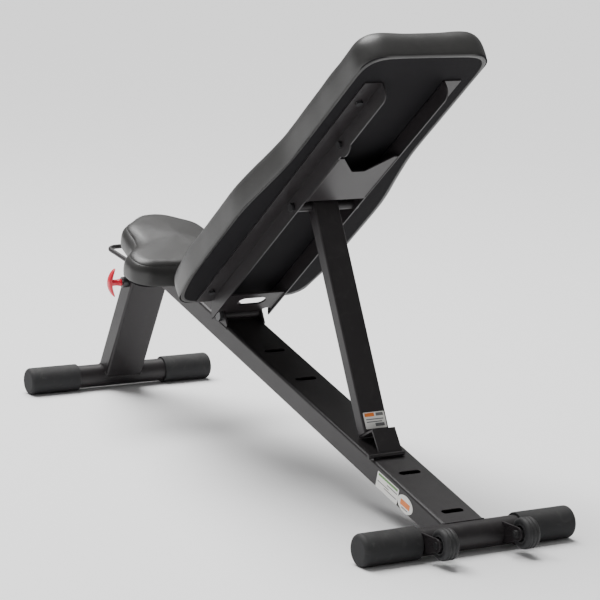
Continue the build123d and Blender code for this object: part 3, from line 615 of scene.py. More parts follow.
@dataclass
class PathRepeat:
    """Small shapes set one after another along a path, by geometry nodes."""

    kind: Bead
    spacing: float
    size: Vector
    seed: int = 3

    def tree(self, material: bpy.types.Material) -> bpy.types.NodeTree:
        """Build the node tree.

        Args:
            material: The finish of the repeated shapes.

        Returns:
            The tree, whose inputs are the path, the spacing, the size and the jitter.
        """
        tree = bpy.data.node_groups.new(f"{self.kind.value}_along_path", "GeometryNodeTree")
        face = tree.interface
        face.new_socket("Geometry", in_out="INPUT", socket_type="NodeSocketGeometry")
        face.new_socket("Spacing", in_out="INPUT", socket_type=FLOAT)
        face.new_socket("Size", in_out="INPUT", socket_type=VECTOR)
        face.new_socket("Jitter", in_out="INPUT", socket_type=FLOAT)
        face.new_socket("Geometry", in_out="OUTPUT", socket_type="NodeSocketGeometry")
        nodes, links = tree.nodes, tree.links
        source, result = nodes.new("NodeGroupInput"), nodes.new("NodeGroupOutput")
        curve = nodes.new("GeometryNodeMeshToCurve")
        spaced = nodes.new("GeometryNodeResampleCurve")
        spaced.mode = "LENGTH"
        links.new(source.outputs["Geometry"], curve.inputs["Mesh"])
        links.new(curve.outputs["Curve"], spaced.inputs["Curve"])
        links.new(source.outputs["Spacing"], spaced.inputs["Length"])
        shape = nodes.new("GeometryNodeMeshIcoSphere")
        shape.inputs["Radius"].default_value = 1.0
        shape.inputs["Subdivisions"].default_value = 2
        outward = nodes.new("GeometryNodeInputNamedAttribute")
        outward.data_type = "FLOAT_VECTOR"
        outward.inputs["Name"].default_value = "outward"
        lifted = nodes.new("FunctionNodeAlignRotationToVector")
        lifted.axis = "Z"
        links.new(outward.outputs["Attribute"], lifted.inputs["Vector"])
        turned = nodes.new("FunctionNodeAlignRotationToVector")
        turned.axis, turned.pivot_axis = "X", "Z"
        links.new(lifted.outputs["Rotation"], turned.inputs["Rotation"])
        links.new(nodes.new("GeometryNodeInputTangent").outputs["Tangent"], turned.inputs["Vector"])
        chance = nodes.new("FunctionNodeRandomValue")
        chance.data_type = "FLOAT"
        low = nodes.new("ShaderNodeMath")
        low.operation = "SUBTRACT"
        low.inputs[0].default_value = 1.0
        links.new(source.outputs["Jitter"], low.inputs[1])
        links.new(low.outputs[0], chance.inputs[2])
        chance.inputs[3].default_value = 1.0
        chance.inputs["Seed"].default_value = self.seed
        scaled = nodes.new("ShaderNodeVectorMath")
        scaled.operation = "SCALE"
        links.new(source.outputs["Size"], scaled.inputs[0])
        links.new(chance.outputs[1], scaled.inputs["Scale"])
        placed = nodes.new("GeometryNodeInstanceOnPoints")
        links.new(spaced.outputs["Curve"], placed.inputs["Points"])
        links.new(shape.outputs["Mesh"], placed.inputs["Instance"])
        links.new(turned.outputs["Rotation"], placed.inputs["Rotation"])
        links.new(scaled.outputs[0], placed.inputs["Scale"])
        real = nodes.new("GeometryNodeRealizeInstances")
        smooth = nodes.new("GeometryNodeSetShadeSmooth")
        dressed = nodes.new("GeometryNodeSetMaterial")
        dressed.inputs["Material"].default_value = material
        links.new(placed.outputs["Instances"], real.inputs["Geometry"])
        links.new(real.outputs["Geometry"], smooth.inputs["Geometry"])
        links.new(smooth.outputs["Geometry"], dressed.inputs["Geometry"])
        links.new(dressed.outputs["Geometry"], result.inputs["Geometry"])
        return tree

    def along(self, name: str, paths: list, material: bpy.types.Material, jitter: float) -> bpy.types.Object:
        """Set the shapes along closed or open paths.

        Args:
            name: The piece's name.
            paths: For each path, its points, its outward directions and whether it is closed.
            material: The shapes' material.
            jitter: How much smaller a shape may be, as a share.

        Returns:
            The piece as plain mesh.
        """
        points, edges, outward = [], [], []
        for places, directions, closed in paths:
            first = len(points)
            points += [tuple(p) for p in places]
            outward += [tuple(d) for d in directions]
            edges += [(first + i, first + i + 1) for i in range(len(places) - 1)]
            if closed:
                edges.append((first + len(places) - 1, first))
        mesh = bpy.data.meshes.new(name)
        mesh.from_pydata(points, edges, [])
        attribute = mesh.attributes.new("outward", "FLOAT_VECTOR", "POINT")
        attribute.data.foreach_set("vector", [c for d in outward for c in d])
        piece = link_mesh(name, mesh)
        tree = self.tree(material)
        modifier = piece.modifiers.new("repeat", "NODES")
        modifier.node_group = tree
        values = {"Spacing": self.spacing, "Size": self.size, "Jitter": jitter}
        for item in tree.interface.items_tree:
            if item.item_type == "SOCKET" and item.in_out == "INPUT" and item.name in values:
                modifier[item.identifier] = values[item.name]
        return finished_mesh(piece)


# ------------------------------------------------------------------ cushions
def smoothed(loop: np.ndarray, passes: int) -> np.ndarray:
    """A closed run of rows, each averaged with its neighbours a number of times."""
    for _ in range(passes):
        loop = (np.roll(loop, 1, 0) + 2 * loop + np.roll(loop, -1, 0)) / 4
    return loop


@dataclass
class Cushion:
    """A crowned vinyl cushion on a board, swollen by a short cloth simulation."""

    name: str
    node: str
    place: LocalFrame
    underside: float
    wall_height: float
    thickness: float
    body: Body
    top_sign: int
    around: int = 300
    pressure: float = 4.0
    swell_cap: float = 9.0 * MM
    crown: float = 6.0 * MM
    seam: bool = False
    held_rows: int = 6
    fading_rows: int = 7
    swelling_frames: int = 20
    evening_passes: int = 12
    relaxing_passes: int = 60
    passes_per_mm: float = 2.5
    seam_layer: int = 14

    def outline(self) -> np.ndarray:
        """The CAD cushion's plan outline as evenly spaced points, the first on the middle line."""
        data = frame["nodes"][self.node].data
        level = self.underside + self.top_sign * self.wall_height
        half = {}
        for vertex in data.vertices:
            spot = self.place.local(vertex.co)
            if abs(spot.z - level) < 0.4 * MM and spot.y > -0.1 * MM:
                half[(round(spot.x, 5), round(max(spot.y, 0.0), 5))] = True
        points = np.array(sorted(half))
        centre = (points[:, 0].min() + points[:, 0].max()) / 2
        angle = np.arctan2(points[:, 1], centre - points[:, 0])
        points = points[np.argsort(angle)]
        points[0, 1] = 0.0
        points[-1, 1] = 0.0
        steps = np.hypot(*np.diff(points, axis=0).T)
        walked = np.concatenate([[0.0], np.cumsum(steps)])
        count = self.around // 2
        spots = np.linspace(0.0, walked[-1], count + 1)
        left = np.column_stack([np.interp(spots, walked, points[:, k]) for k in (0, 1)])
        right = left[1:-1][::-1] * (1, -1)
        loop = np.vstack([left, right])
        return smoothed(loop, 4)

    def profile(self) -> list[tuple[float, float]]:
        """Inset and height of each ring, in mm, from the folded-in underside to the top."""
        tall = self.thickness / MM
        rows = [(13.5, 1.5), (13.0, -0.5), (9.0, -0.7), (5.5, 0.0), (3.8, 3.0), (3.0, 9.0)]
        rows += [(2.4, tall * 0.32), (2.2, tall * 0.5), (3.0, tall * 0.66)]
        if self.seam:
            rows += [(7.0, tall * 0.80), (9.2, tall * 0.85), (10.6, tall * 0.855), (11.2, tall * 0.885)]
            rows += [(15.5, tall * 0.935), (21.0, tall * 0.965)]
        else:
            rows += [(5.5, tall * 0.79), (10.0, tall * 0.90), (16.5, tall * 0.96)]
        rows.append((28.0, tall * 0.985))
        return rows

    def base_mesh(self) -> bpy.types.Object:
        """The cushion before it swells."""
        loop = self.outline()
        ahead = np.roll(loop, -1, 0) - np.roll(loop, 1, 0)
        normal = np.column_stack([-ahead[:, 1], ahead[:, 0]])
        normal /= np.linalg.norm(normal, axis=1)[:, None]
        centre = loop.mean(0)
        if ((loop + normal * 0.001 - centre) ** 2).sum() < ((loop - centre) ** 2).sum():
            normal = -normal
        low, high = loop[:, 0].min(), loop[:, 0].max()
        reach = np.abs(loop[:, 1]).max()
        core = np.full(len(loop), (low + high) / 2)
        if high - low > 2 * reach:
            core = np.clip(loop[:, 0], low + reach, high - reach)
        layers = []

        def layer(flat: np.ndarray, height: float) -> None:
            layers.append([self.place.point(a, b, self.underside + self.top_sign * height) for a, b in flat])

        def inset_loop(inset: float) -> np.ndarray:
            passes = int(inset * self.passes_per_mm)
            eased = smoothed(normal, passes)
            eased /= np.linalg.norm(eased, axis=1)[:, None]
            return smoothed(loop - eased * inset * MM, passes)

        profile = self.profile()
        inner_low = inset_loop(profile[0][0])
        for share in (0.9, 0.6, 0.3):
            flat = inner_low.copy()
            flat[:, 0] += (core - flat[:, 0]) * share
            flat[:, 1] *= 1 - share
            layer(flat, profile[0][1] * MM)
        for inset, height in profile:
            layer(inset_loop(inset), height * MM)
        inner_top = inset_loop(profile[-1][0])
        first_free = len(layers)
        for share in (0.12, 0.24, 0.38, 0.52, 0.66, 0.80, 0.92):
            flat = inner_top.copy()
            flat[:, 0] += (core - flat[:, 0]) * share
            flat[:, 1] *= 1 - share
            layer(flat, self.thickness + self.crown * (1 - (1 - share) ** 2))
        count = len(loop)
        grid = np.array([[tuple(p) for p in one] for one in layers])
        for _ in range(self.relaxing_passes):
            free = grid[first_free:-1]
            beside = np.roll(free, 1, 1) + np.roll(free, -1, 1)
            grid[first_free:-1] = (beside + grid[first_free - 1 : -2] + grid[first_free + 1 :]) / 4
        points = grid.reshape(-1, 3)
        faces = ring_faces(len(layers) - 1, count)
        for first in (0, (len(layers) - 1) * count):
            for i in range(1, count // 2 - 1):
                faces.append((first + i, first + i + 1, first + count - i - 1, first + count - i))
            faces.append((first, first + 1, first + count - 1))
            faces.append((first + count // 2 - 1, first + count // 2, first + count // 2 + 1))
        mesh = bpy.data.meshes.new(self.name)
        mesh.from_pydata([tuple(p) for p in points], [], faces)
        build = bmesh.new()
        build.from_mesh(mesh)
        bmesh.ops.recalc_face_normals(build, faces=build.faces)
        build.to_mesh(mesh)
        build.free()
        mesh.polygons.foreach_set("use_smooth", [True] * len(mesh.polygons))
        return link_mesh(self.name, mesh)

    def swell(self, piece: bpy.types.Object) -> None:
        """Blow the cushion up a little with the cloth solver, its underside held flat.

        Args:
            piece: The cushion's object, changed in place.
        """
        count = self.around
        held = count * self.held_rows
        group = piece.vertex_groups.new(name="held")
        group.add(list(range(held)), 1.0, "REPLACE")
        cloth = piece.modifiers.new("swell", "CLOTH")
        settings = cloth.settings
        settings.quality = 5
        settings.mass = 0.3
        settings.tension_stiffness = 12.0
        settings.compression_stiffness = 12.0
        settings.bending_stiffness = 0.6
        settings.use_pressure = True
        settings.uniform_pressure_force = self.pressure
        settings.vertex_group_mass = "held"
        settings.effector_weights.gravity = 0.0
        scene = bpy.context.scene
        before = np.array([v.co for v in piece.data.vertices])
        for number in range(1, self.swelling_frames + 1):
            scene.frame_set(number)
        graph = bpy.context.evaluated_depsgraph_get()
        swollen = piece.evaluated_get(graph).to_mesh()
        after = np.array([v.co for v in swollen.vertices])
        piece.evaluated_get(graph).to_mesh_clear()
        piece.modifiers.clear()
        scene.frame_set(1)
        moved = (after - before).reshape(-1, count, 3)
        for _ in range(self.evening_passes):
            moved = smoothed(moved.swapaxes(0, 1), 1).swapaxes(0, 1)
            moved[1:-1] = (moved[:-2] + 2 * moved[1:-1] + moved[2:]) / 4
        moved = moved.reshape(-1, 3)
        far = np.linalg.norm(moved, axis=1)
        factor = np.minimum(1.0, self.swell_cap / np.maximum(far, 1e-9))
        row = np.arange(len(before)) // count
        factor *= np.clip((row - self.held_rows) / self.fading_rows, 0.0, 1.0)
        placed = before + moved * factor[:, None]
        piece.data.vertices.foreach_set("co", placed.ravel())
        piece.data.update()

    def pucker(self, piece: bpy.types.Object) -> None:
        """Soft unevenness of stretched vinyl: slow waves on top and short pulls round the sides.

        Args:
            piece: The cushion's object, changed in place.
        """
        normals = [v.normal.copy() for v in piece.data.vertices]
        for index, vertex in enumerate(piece.data.vertices):
            if index < self.around * self.held_rows:
                continue
            spot = vertex.co
            slow = noise.noise(Vector(spot) * 14.0) * 0.9
            short = noise.noise(Vector((spot.x * 46.0, spot.y * 46.0, spot.z * 18.0))) * 0.28
            vertex.co = spot + normals[index] * (slow + short) * MM
        piece.data.update()

    def seam_paths(self, piece: bpy.types.Object, inset: float) -> list:
        """Two rows of places beside the seam, for stitches.

        Args:
            piece: The cushion's object.
            inset: How far each row stands from the seam, in metres.

        Returns:
            Paths for PathRepeat.
        """
        count = self.around
        vertices = piece.data.vertices
        paths = []
        for step in (1, -2):
            first = self.seam_layer * count
            beside = (self.seam_layer + step) * count
            places, outward = [], []
            for i in range(count):
                seam_spot, other = vertices[first + i].co, vertices[beside + i].co
                toward = other - seam_spot
                toward = toward.normalized() * min(inset, toward.length * 0.95)
                normal = (vertices[first + i].normal + vertices[beside + i].normal).normalized()
                places.append(seam_spot + toward + normal * 0.35 * MM)
                outward.append(normal)
            paths.append((places, outward, True))
        return paths

    def build(self) -> bpy.types.Object:
        """Make the cushion's shape."""
        piece = self.base_mesh()
        self.swell(piece)
        self.pucker(piece)
        return piece

    def finish(self, piece: bpy.types.Object, material: bpy.types.Material) -> None:
        modifier = piece.modifiers.new("smooth", "SUBSURF")
        modifier.levels = 1
        modifier.render_levels = 1
        finished_mesh(piece)
        give(piece, material, self.body)
        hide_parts(self.node)


# ------------------------------------------------------------------ hardware
@dataclass
class PullKnob:
    """The red crescent handle of the pull pin and its flared stem."""

    length: float = 64.0 * MM
    width: float = 17.0 * MM
    thickness: float = 9.5 * MM
    tip_thickness: float = 4.5 * MM
    sweep_back: float = 12.0 * MM
    stem_radius: float = 8.0 * MM
    rows: int = 40
    sides: int = 28

    def bar(self, centre: Vector, outer: float) -> bpy.types.Object:
        """The crescent bar.

        Args:
            centre: The knob's middle; only X and Z are read.
            outer: The furthest Y that it reaches.

        Returns:
            The bar.
        """
        points = []
        for row in range(self.rows + 1):
            share = -1 + 2 * row / self.rows
            share = math.sin(share * math.pi / 2)
            body = max(1 - share**2, 0.0)
            taper = max(1 - share**8, 0.02) ** 0.5
            thick = (self.tip_thickness + (self.thickness - self.tip_thickness) * body) * taper
            wide = self.width * (0.62 + 0.38 * body) * taper
            y = outer - self.thickness / 2 - self.sweep_back * share**2
            z = centre.z + share * self.length / 2
            for side in range(self.sides):
                angle = 2 * math.pi * side / self.sides
                flat_x = math.copysign(abs(math.cos(angle)) ** 0.7, math.cos(angle))
                flat_y = math.copysign(abs(math.sin(angle)) ** 0.7, math.sin(angle))
                points.append(Vector((centre.x + flat_x * wide / 2, y + flat_y * thick / 2, z)))
        return mesh_from("pull_knob_bar", points, capped_faces(self.rows, self.sides))

    def stem(self, centre: Vector, start: float, outer: float) -> bpy.types.Object:
        """The stem, waisted between its collar and the bar.

        Args:
            centre: The knob's middle; only X and Z are read.
            start: Where the stem begins.
            outer: The furthest Y of the bar.

        Returns:
            The stem.
        """
        end = outer - self.thickness * 0.55
        shares = [(start, 0.0), (start, 0.86), (start + 0.6 * MM, 1.0), (start + 5 * MM, 1.02)]
        shares += [(start + 7 * MM, 0.93), (start + 12 * MM, 0.86), (end - 5 * MM, 0.90)]
        shares += [(end - 1.5 * MM, 1.02), (end, 1.0), (end, 0.0)]
        rows = [(y, self.stem_radius * share) for y, share in shares]
        return lathe("pull_knob_stem", Vector((centre.x, 0, centre.z)), rows, 48)

    def build(self, material: bpy.types.Material) -> None:
        """Make and place both pieces."""
        low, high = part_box("pull_knob")
        centre = middle("pull_knob")
        for piece in (self.bar(centre, high[1]), self.stem(centre, low[1], high[1])):
            give(piece, material, Body.PIN)
            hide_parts("pull_knob")


def lathe(name: str, centre: Vector, rows: list[tuple[float, float]], sides: int) -> bpy.types.Object:
    """A turned shape about an axis along Y.

    Args:
        name: The piece's name.
        centre: A point on the axis.
        rows: Y and radius of each ring, from one end to the other.
        sides: Points round each ring.

    Returns:
        The piece.
    """
    points = []
    for y, radius in rows:
        for side in range(sides):
            angle = 2 * math.pi * side / sides
            x, z = centre.x + radius * math.cos(angle), centre.z + radius * math.sin(angle)
            points.append(Vector((x, centre.y + y, z)))
    piece = mesh_from(name, points, ring_faces(len(rows) - 1, sides))
    build = bmesh.new()
    build.from_mesh(piece.data)
    bmesh.ops.dissolve_degenerate(build, dist=1e-7, edges=build.edges)
    bmesh.ops.recalc_face_normals(build, faces=build.faces)
    build.to_mesh(piece.data)
    build.free()
    return piece


@dataclass
class PinSpring:
    """The pull pin's coil, which shortens as the pin is drawn."""

    wire: float = 1.0 * MM
    turns: int = 7
    steps_per_turn: int = 28
    sides: int = 8

    def build(self, steel: bpy.types.Material) -> None:
        """Make the steel coil that stands for the CAD spring."""
        low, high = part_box("pin_spring")
        centre = middle("pin_spring")
        radius = (high[2] - low[2]) / 2 - self.wire / 2
        start_y, end_y = low[1] + self.wire / 2, high[1] - self.wire / 2
        count = self.turns * self.steps_per_turn
        points = []
        for step in range(count + 1):
            angle = 2 * math.pi * step / self.steps_per_turn
            outward = Vector((math.cos(angle), 0, math.sin(angle)))
            y = start_y + (end_y - start_y) * step / count
            core = Vector((centre.x, y, centre.z)) + outward * radius
            for side in range(self.sides):
                turn = 2 * math.pi * side / self.sides
                away = outward * math.cos(turn) + Vector((0, math.sin(turn), 0))
                points.append(core + away * self.wire / 2)
        piece = mesh_from("pin_coil", points, capped_faces(count, self.sides))
        piece.data.materials.append(steel)
        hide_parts("pin_spring")
        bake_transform(piece)


@dataclass
class Wheel:
    """A rubber tyre with a moulded tread on a dished hub."""

    side: str
    body: Body
    tyre_round: float = 7.0 * MM
    groove: float = 0.8 * MM

    def build(self, rubber: bpy.types.Material) -> None:
        """Make the tyre that stands for the CAD one.

        Args:
            rubber: The tyre's material.
        """
        node = f"wheel_tyre_{self.side}"
        low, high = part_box(node)
        centre = middle(node)
        outer = (high[2] - low[2]) / 2
        half = (high[1] - low[1]) / 2
        hub_low, hub_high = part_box(f"wheel_hub_{self.side}")
        inner = (hub_high[2] - hub_low[2]) / 2
        rows = [(-half + 0.6 * MM, inner), (-half, inner + 1.2 * MM), (-half, outer - self.tyre_round)]
        for step in range(1, 8):
            angle = math.pi / 2 * step / 8
            y = -half + self.tyre_round * (1 - math.cos(angle))
            rows.append((y, outer - self.tyre_round * (1 - math.sin(angle))))
        rows.append((-half + self.tyre_round, outer))
        for y in (-4.0 * MM, 4.0 * MM):
            rows += [(y - 0.8 * MM, outer), (y - 0.5 * MM, outer - self.groove)]
            rows += [(y + 0.5 * MM, outer - self.groove), (y + 0.8 * MM, outer)]
        rows += [(-y, radius) for y, radius in rows[:11][::-1]]
        rows.append(rows[0])
        piece = lathe(f"tyre_{self.side}", centre, rows, 96)
        give(piece, rubber, self.body)
        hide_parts(node)


@dataclass
class WeldBeads:
    """Ripple welds where tubes and plates meet."""

    bead_width: float = 2.6 * MM
    bead_height: float = 1.3 * MM
    ripple: float = 1.7 * MM

    def box_loop(self, half_width: float, half_depth: float, corner: float) -> list[tuple]:
        """Points and outward directions round a rounded rectangle.

        Args:
            half_width: Half the width, along Y.
            half_depth: Half the depth.
            corner: Corner radius.

        Returns:
            Tuples of side, up, outward side and outward up.
        """
        spots = []
        for corner_index, (sign_y, sign_n) in enumerate(((1, 1), (-1, 1), (-1, -1), (1, -1))):
            for step in range(7):
                angle = math.pi / 2 * (corner_index + step / 6)
                cos_a, sin_a = math.cos(angle), math.sin(angle)
                spots.append((sign_y * (half_width - corner) + corner * cos_a,
                              sign_n * (half_depth - corner) + corner * sin_a, cos_a, sin_a))
            if corner_index % 2 == 0:
                for step in range(1, 8):
                    y = sign_y * (half_width - corner) * (1 - step / 4)
                    spots.append((y, sign_n * half_depth, 0.0, sign_n))
        return spots

    def cope_path(self, place: LocalFrame) -> tuple:
        """The line where a box tube meets a round floor tube.

        Args:
            place: The box tube's frame, its origin on the round tube's axis.

        Returns:
            A path for PathRepeat.
        """
        places, outward = [], []
        for side, up, out_side, out_up in self.box_loop(SPINE_HALF_WIDTH, SPINE_TOP, 6.0 * MM):
            along = math.sqrt(max(BASE_TUBE_RADIUS**2 - up**2, 0.0))
            places.append(place.point(along + 0.6 * MM, side + out_side * 0.5 * MM, up + out_up * 0.5 * MM))
            outward.append(place.along * 0.7 + Vector((0, out_side, 0)) + place.up * out_up)
        return places, outward, True

    def line(self, start: Vector, end: Vector, outward: Vector) -> tuple:
        """A straight weld.

        Args:
            start: One end.
            end: The other end.
            outward: The direction it stands out in.

        Returns:
            A path for PathRepeat.
        """
        count = 12
        places = [start.lerp(end, i / (count - 1)) for i in range(count)]
        return places, [outward] * count, False

    def root_paths(self) -> list:
        """Welds of the floor frame."""
        post_lean = math.pi - math.atan(POST_RISE_PER_RUN)
        post = LocalFrame(Vector((FRONT_TUBE.x, 0, FRONT_TUBE.z)), post_lean)
        paths = [self.cope_path(SPINE), self.cope_path(post)]
        hinge = SPINE.local(HINGE)
        for side in (1, -1):
            out = Vector((0, side, 0))
            start = SPINE.point(hinge.x - 27 * MM, side * 45.1 * MM, SPINE_TOP - 5.5 * MM)
            end = SPINE.point(hinge.x + 27 * MM, side * 45.1 * MM, SPINE_TOP - 5.5 * MM)
            paths.append(self.line(start, end, out))
        return paths

    def back_paths(self) -> list:
        """Welds of the hinge plate and the cross plate to the rails."""
        paths = []
        height = HINGE_DROP + 2.2 * MM
        for side in (1, -1):
            out = BACK.up * 0.8 - Vector((0, side * 0.6, 0))
            for first, last in ((30, 86), (470, 612)):
                level = height if last < 100 else 33.6 * MM
                start = BACK.point(first * MM, side * 64.0 * MM, level)
                end = BACK.point(last * MM, side * 64.0 * MM, level)
                paths.append(self.line(start, end, out))
        start = BACK.point(9.6 * MM, -38 * MM, height + 0.3 * MM)
        end = BACK.point(9.6 * MM, 38 * MM, height + 0.3 * MM)
        paths.append(self.line(start, end, BACK.up))
        return paths

    def build(self, material: bpy.types.Material) -> None:
        """Make the welds of each body."""
        size = Vector((self.ripple * 1.1, self.bead_width, self.bead_height))
        repeat = PathRepeat(Bead.WELD, self.ripple, size)
        welded = (("frame_welds", self.root_paths(), Body.ROOT),
                  ("back_welds", self.back_paths(), Body.BACK))
        for name, paths, body in welded:
            piece = repeat.along(name, paths, material, 0.25)
            give(piece, material, body)


# ------------------------------------------------------------------ the bench
class Bench:
    """Builds every piece in order."""

    def __init__(self) -> None:
        """Build the materials."""
        self.groups = Groups()
        self.materials = {slot: finish.material(self.groups) for slot, finish in FINISHES.items()}

    def dress_frame(self) -> None:
        """Give each CAD node but the labels its procedural finish."""
        slots = {part["node"]: Slot(part["material_slot"]) for part in frame["record"]["subparts"]}
        for name, node in frame["nodes"].items():
            slot = slots[name]
            if slot is Slot.LABEL:
                continue
            node.data.materials.clear()
            node.data.materials.append(self.materials[slot])
        LOG.info("dressed %d frame nodes", len(frame["nodes"]))

    def round_edges(self) -> None:
        """Small rounded edges on plates, tubes and bolts."""
        widths = {"hinge_plate": 0.7, "cross_plate": 0.6, "foot_plate": 0.7, "pivot_ear_left": 0.8,
                  "pivot_ear_right": 0.8, "seat_bracket": 0.6, "wheel_bracket_left": 0.7,
                  "wheel_bracket_right": 0.7, "strut_axle": 0.5, "pivot_bolt": 0.6, "rail_screws": 0.4,
                  "ear_bolt": 0.4, "wheel_bolt_left": 0.4, "wheel_bolt_right": 0.4, "strut_axle_nut": 0.4,
                  "pin_housing": 0.8}
        for name, width in widths.items():
            node = frame["nodes"][name]
            weld = node.modifiers.new("join", "WELD")
            weld.merge_threshold = 0.00001
            bevel = node.modifiers.new("edge", "BEVEL")
            bevel.width = width * MM
            bevel.segments = 2
            bevel.limit_method = "ANGLE"
            bevel.angle_limit = math.radians(40)
            even = node.modifiers.new("even_shading", "WEIGHTED_NORMAL")
            even.weight = 80
        LOG.info("rounded the edges of %d nodes", len(widths))

    def dress_labels(self) -> None:
        """Print plain blocks on the three blank decals."""
        names = ("side_label", "oval_label", "strut_label")
        side_centre, oval_centre, strut_centre = (middle(name) for name in names)
        grey, orange, green = (0.16, 0.16, 0.16), (0.78, 0.20, 0.03), (0.10, 0.26, 0.06)
        decals = {
            "side_label": Decal("side_decal", side_centre, SPINE_SLOPE, True, (
                ((0.0, 0.0115, 0.034, 0.0024), green), ((-0.016, 0.004, 0.018, 0.0012), grey),
                ((0.014, -0.002, 0.020, 0.0010), grey), ((-0.012, -0.0065, 0.022, 0.0010), grey))),
            "oval_label": Decal("oval_decal", oval_centre, SPINE_SLOPE, True, (
                ((0.0, 0.0, 0.016, 0.0055), orange), ((0.0, -0.0095, 0.010, 0.0012), grey))),
            "strut_label": Decal("strut_decal", strut_centre, STRUT_INCLINE, False, (
                ((0.011, 0.010, 0.0036, 0.0105), orange), ((0.011, -0.012, 0.0030, 0.008), grey),
                ((0.002, 0.0, 0.0010, 0.019), grey), ((-0.003, 0.002, 0.0010, 0.017), grey),
                ((-0.009, -0.009, 0.0032, 0.010), grey))),
        }
        for name, decal in decals.items():
            node = frame["nodes"][name]
            node.data.materials.clear()
            node.data.materials.append(decal.material(self.groups))
        LOG.info("printed %d decals", len(decals))

    def make_cushions(self) -> None:
        """The back cushion and the seat cushion, with the seat's stitched seam."""
        vinyl = self.materials[Slot.VINYL]
        back = Cushion("back_cushion", "backrest_pad", BACK, 0.0, 44 * MM, 60 * MM, Body.BACK, -1,
                       around=420, swell_cap=4 * MM, crown=5 * MM)
        piece = back.build()
        back.finish(piece, vinyl)
        LOG.info("back cushion has %d faces", len(piece.data.polygons))
        seat = Cushion("seat_cushion", "seat_pad", SPINE, SPINE_TOP + BRACKET_THICKNESS, 37 * MM,
                       49 * MM, Body.ROOT, 1, around=300, swell_cap=5 * MM, crown=6 * MM, seam=True)
        piece = seat.build()
        paths = seat.seam_paths(piece, 2.2 * MM)
        stitch = PathRepeat(Bead.STITCH, 5.2 * MM, Vector((2.0, 0.42, 0.36)) * MM)
        rows = stitch.along("seat_stitches", paths, vinyl, 0.1)
        seat.finish(piece, vinyl)
        give(rows, vinyl, Body.ROOT)
        LOG.info("seat cushion has %d faces", len(piece.data.polygons))

    def make_hardware(self) -> None:
        """Knob, tyres and welds."""
        PullKnob().build(self.materials[Slot.KNOB_RED])
        PinSpring().build(self.materials[Slot.BRIGHT_STEEL])
        Wheel("left", Body.LEFT_WHEEL).build(self.materials[Slot.TYRE_RUBBER])
        Wheel("right", Body.RIGHT_WHEEL).build(self.materials[Slot.TYRE_RUBBER])
        WeldBeads().build(self.materials[Slot.POWDER_COAT])
        LOG.info("made the knob, the tyres and the welds")


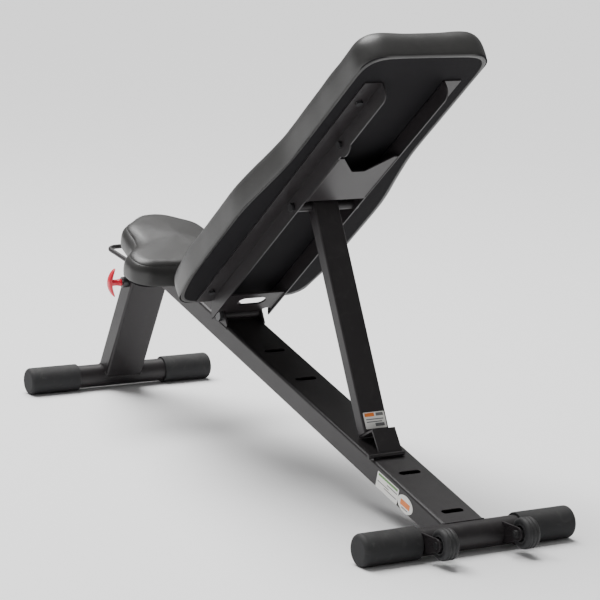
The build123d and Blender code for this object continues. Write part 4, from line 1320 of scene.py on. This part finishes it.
# ------------------------------------------------------------------ studio
@dataclass
class Studio:
    """Camera, floor and soft light."""

    eye: Vector = field(default_factory=lambda: Vector((-4.07005, 2.3483, 1.2422)))
    yaw: float = math.radians(30.40)
    pitch: float = math.radians(10.93)
    roll: float = math.radians(-1.76)
    lens: float = 144.0

    def camera(self) -> None:
        """Create the camera and make it the scene's."""
        data = bpy.data.cameras.new("camera")
        data.lens = self.lens
        data.sensor_width = 36.0
        data.clip_end = 100.0
        view = bpy.data.objects.new("camera", data)
        bpy.context.scene.collection.objects.link(view)
        ahead = Vector((math.cos(self.yaw) * math.cos(self.pitch), -math.sin(self.yaw) * math.cos(self.pitch),
                        -math.sin(self.pitch)))
        right = Vector((-math.sin(self.yaw), -math.cos(self.yaw), 0))
        down = ahead.cross(right)
        cos_r, sin_r = math.cos(self.roll), math.sin(self.roll)
        level = right * cos_r + down * sin_r
        drop = down * cos_r - right * sin_r
        view.matrix_world = Matrix((
            (level.x, -drop.x, -ahead.x, self.eye.x),
            (level.y, -drop.y, -ahead.y, self.eye.y),
            (level.z, -drop.z, -ahead.z, self.eye.z),
            (0, 0, 0, 1),
        ))
        bpy.context.scene.camera = view

    def floor(self) -> None:
        """A large pale floor."""
        size = 30.0
        corners = [(-size, -size, 0), (size, -size, 0), (size, size, 0), (-size, size, 0)]
        mesh = bpy.data.meshes.new("floor")
        mesh.from_pydata(corners, [], [(0, 1, 2, 3)])
        ground = link_mesh("floor", mesh)
        pale = bpy.data.materials.new("pale_floor")
        pale.use_nodes = True
        shader = pale.node_tree.nodes["Principled BSDF"]
        shader.inputs["Base Color"].default_value = (0.93, 0.93, 0.93, 1)
        shader.inputs["Roughness"].default_value = 0.9
        ground.data.materials.append(pale)

    def lamp(self, name: str, place: Vector, aim: Vector, size: float, power: float) -> None:
        """One soft square light.

        Args:
            name: Its name.
            place: Where it stands.
            aim: What it points at.
            size: Its side.
            power: Its power in watts.
        """
        data = bpy.data.lights.new(name, "AREA")
        data.shape = "SQUARE"
        data.size = size
        data.energy = power
        lamp = bpy.data.objects.new(name, data)
        lamp.location = place
        lamp.rotation_mode = "QUATERNION"
        lamp.rotation_quaternion = (aim - place).to_track_quat("-Z", "Y")
        bpy.context.scene.collection.objects.link(lamp)

    def sun(self, toward: Vector, spread: float, strength: float) -> None:
        """A very soft sun that keeps the floor evenly bright.

        Args:
            toward: The direction that it shines from.
            spread: Its angular size in radians.
            strength: Its strength.
        """
        data = bpy.data.lights.new("soft_sun", "SUN")
        data.angle = spread
        data.energy = strength
        lamp = bpy.data.objects.new("soft_sun", data)
        lamp.rotation_mode = "QUATERNION"
        lamp.rotation_quaternion = (-toward).to_track_quat("-Z", "Y")
        bpy.context.scene.collection.objects.link(lamp)

    def lights(self) -> None:
        """A dim white surround, a weak left key, a top light and the soft sun."""
        world = bpy.data.worlds.new("white_room")
        world.use_nodes = True
        world.node_tree.nodes["Background"].inputs["Color"].default_value = (1, 1, 1, 1)
        world.node_tree.nodes["Background"].inputs["Strength"].default_value = 0.28
        bpy.context.scene.world = world
        target = Vector((0, 0, 0.4))
        self.lamp("key_left", Vector((-0.2, 4.4, 2.0)), target, 3.0, 8)
        self.lamp("top", Vector((1.4, 0.6, 4.0)), target, 3.0, 120)
        self.sun(Vector((1.5, 0.15, 3.4)), math.radians(50), 4.4)

    def build(self) -> None:
        """Make the studio."""
        self.camera()
        self.floor()
        self.lights()


def main() -> None:
    """Build the bench's looks in order."""
    logging.basicConfig(level=logging.INFO, format="%(message)s")
    Studio().build()
    bench = Bench()
    bench.dress_frame()
    bench.round_edges()
    bench.dress_labels()
    bench.make_cushions()
    bench.make_hardware()


if __name__ == "__main__":
    main()
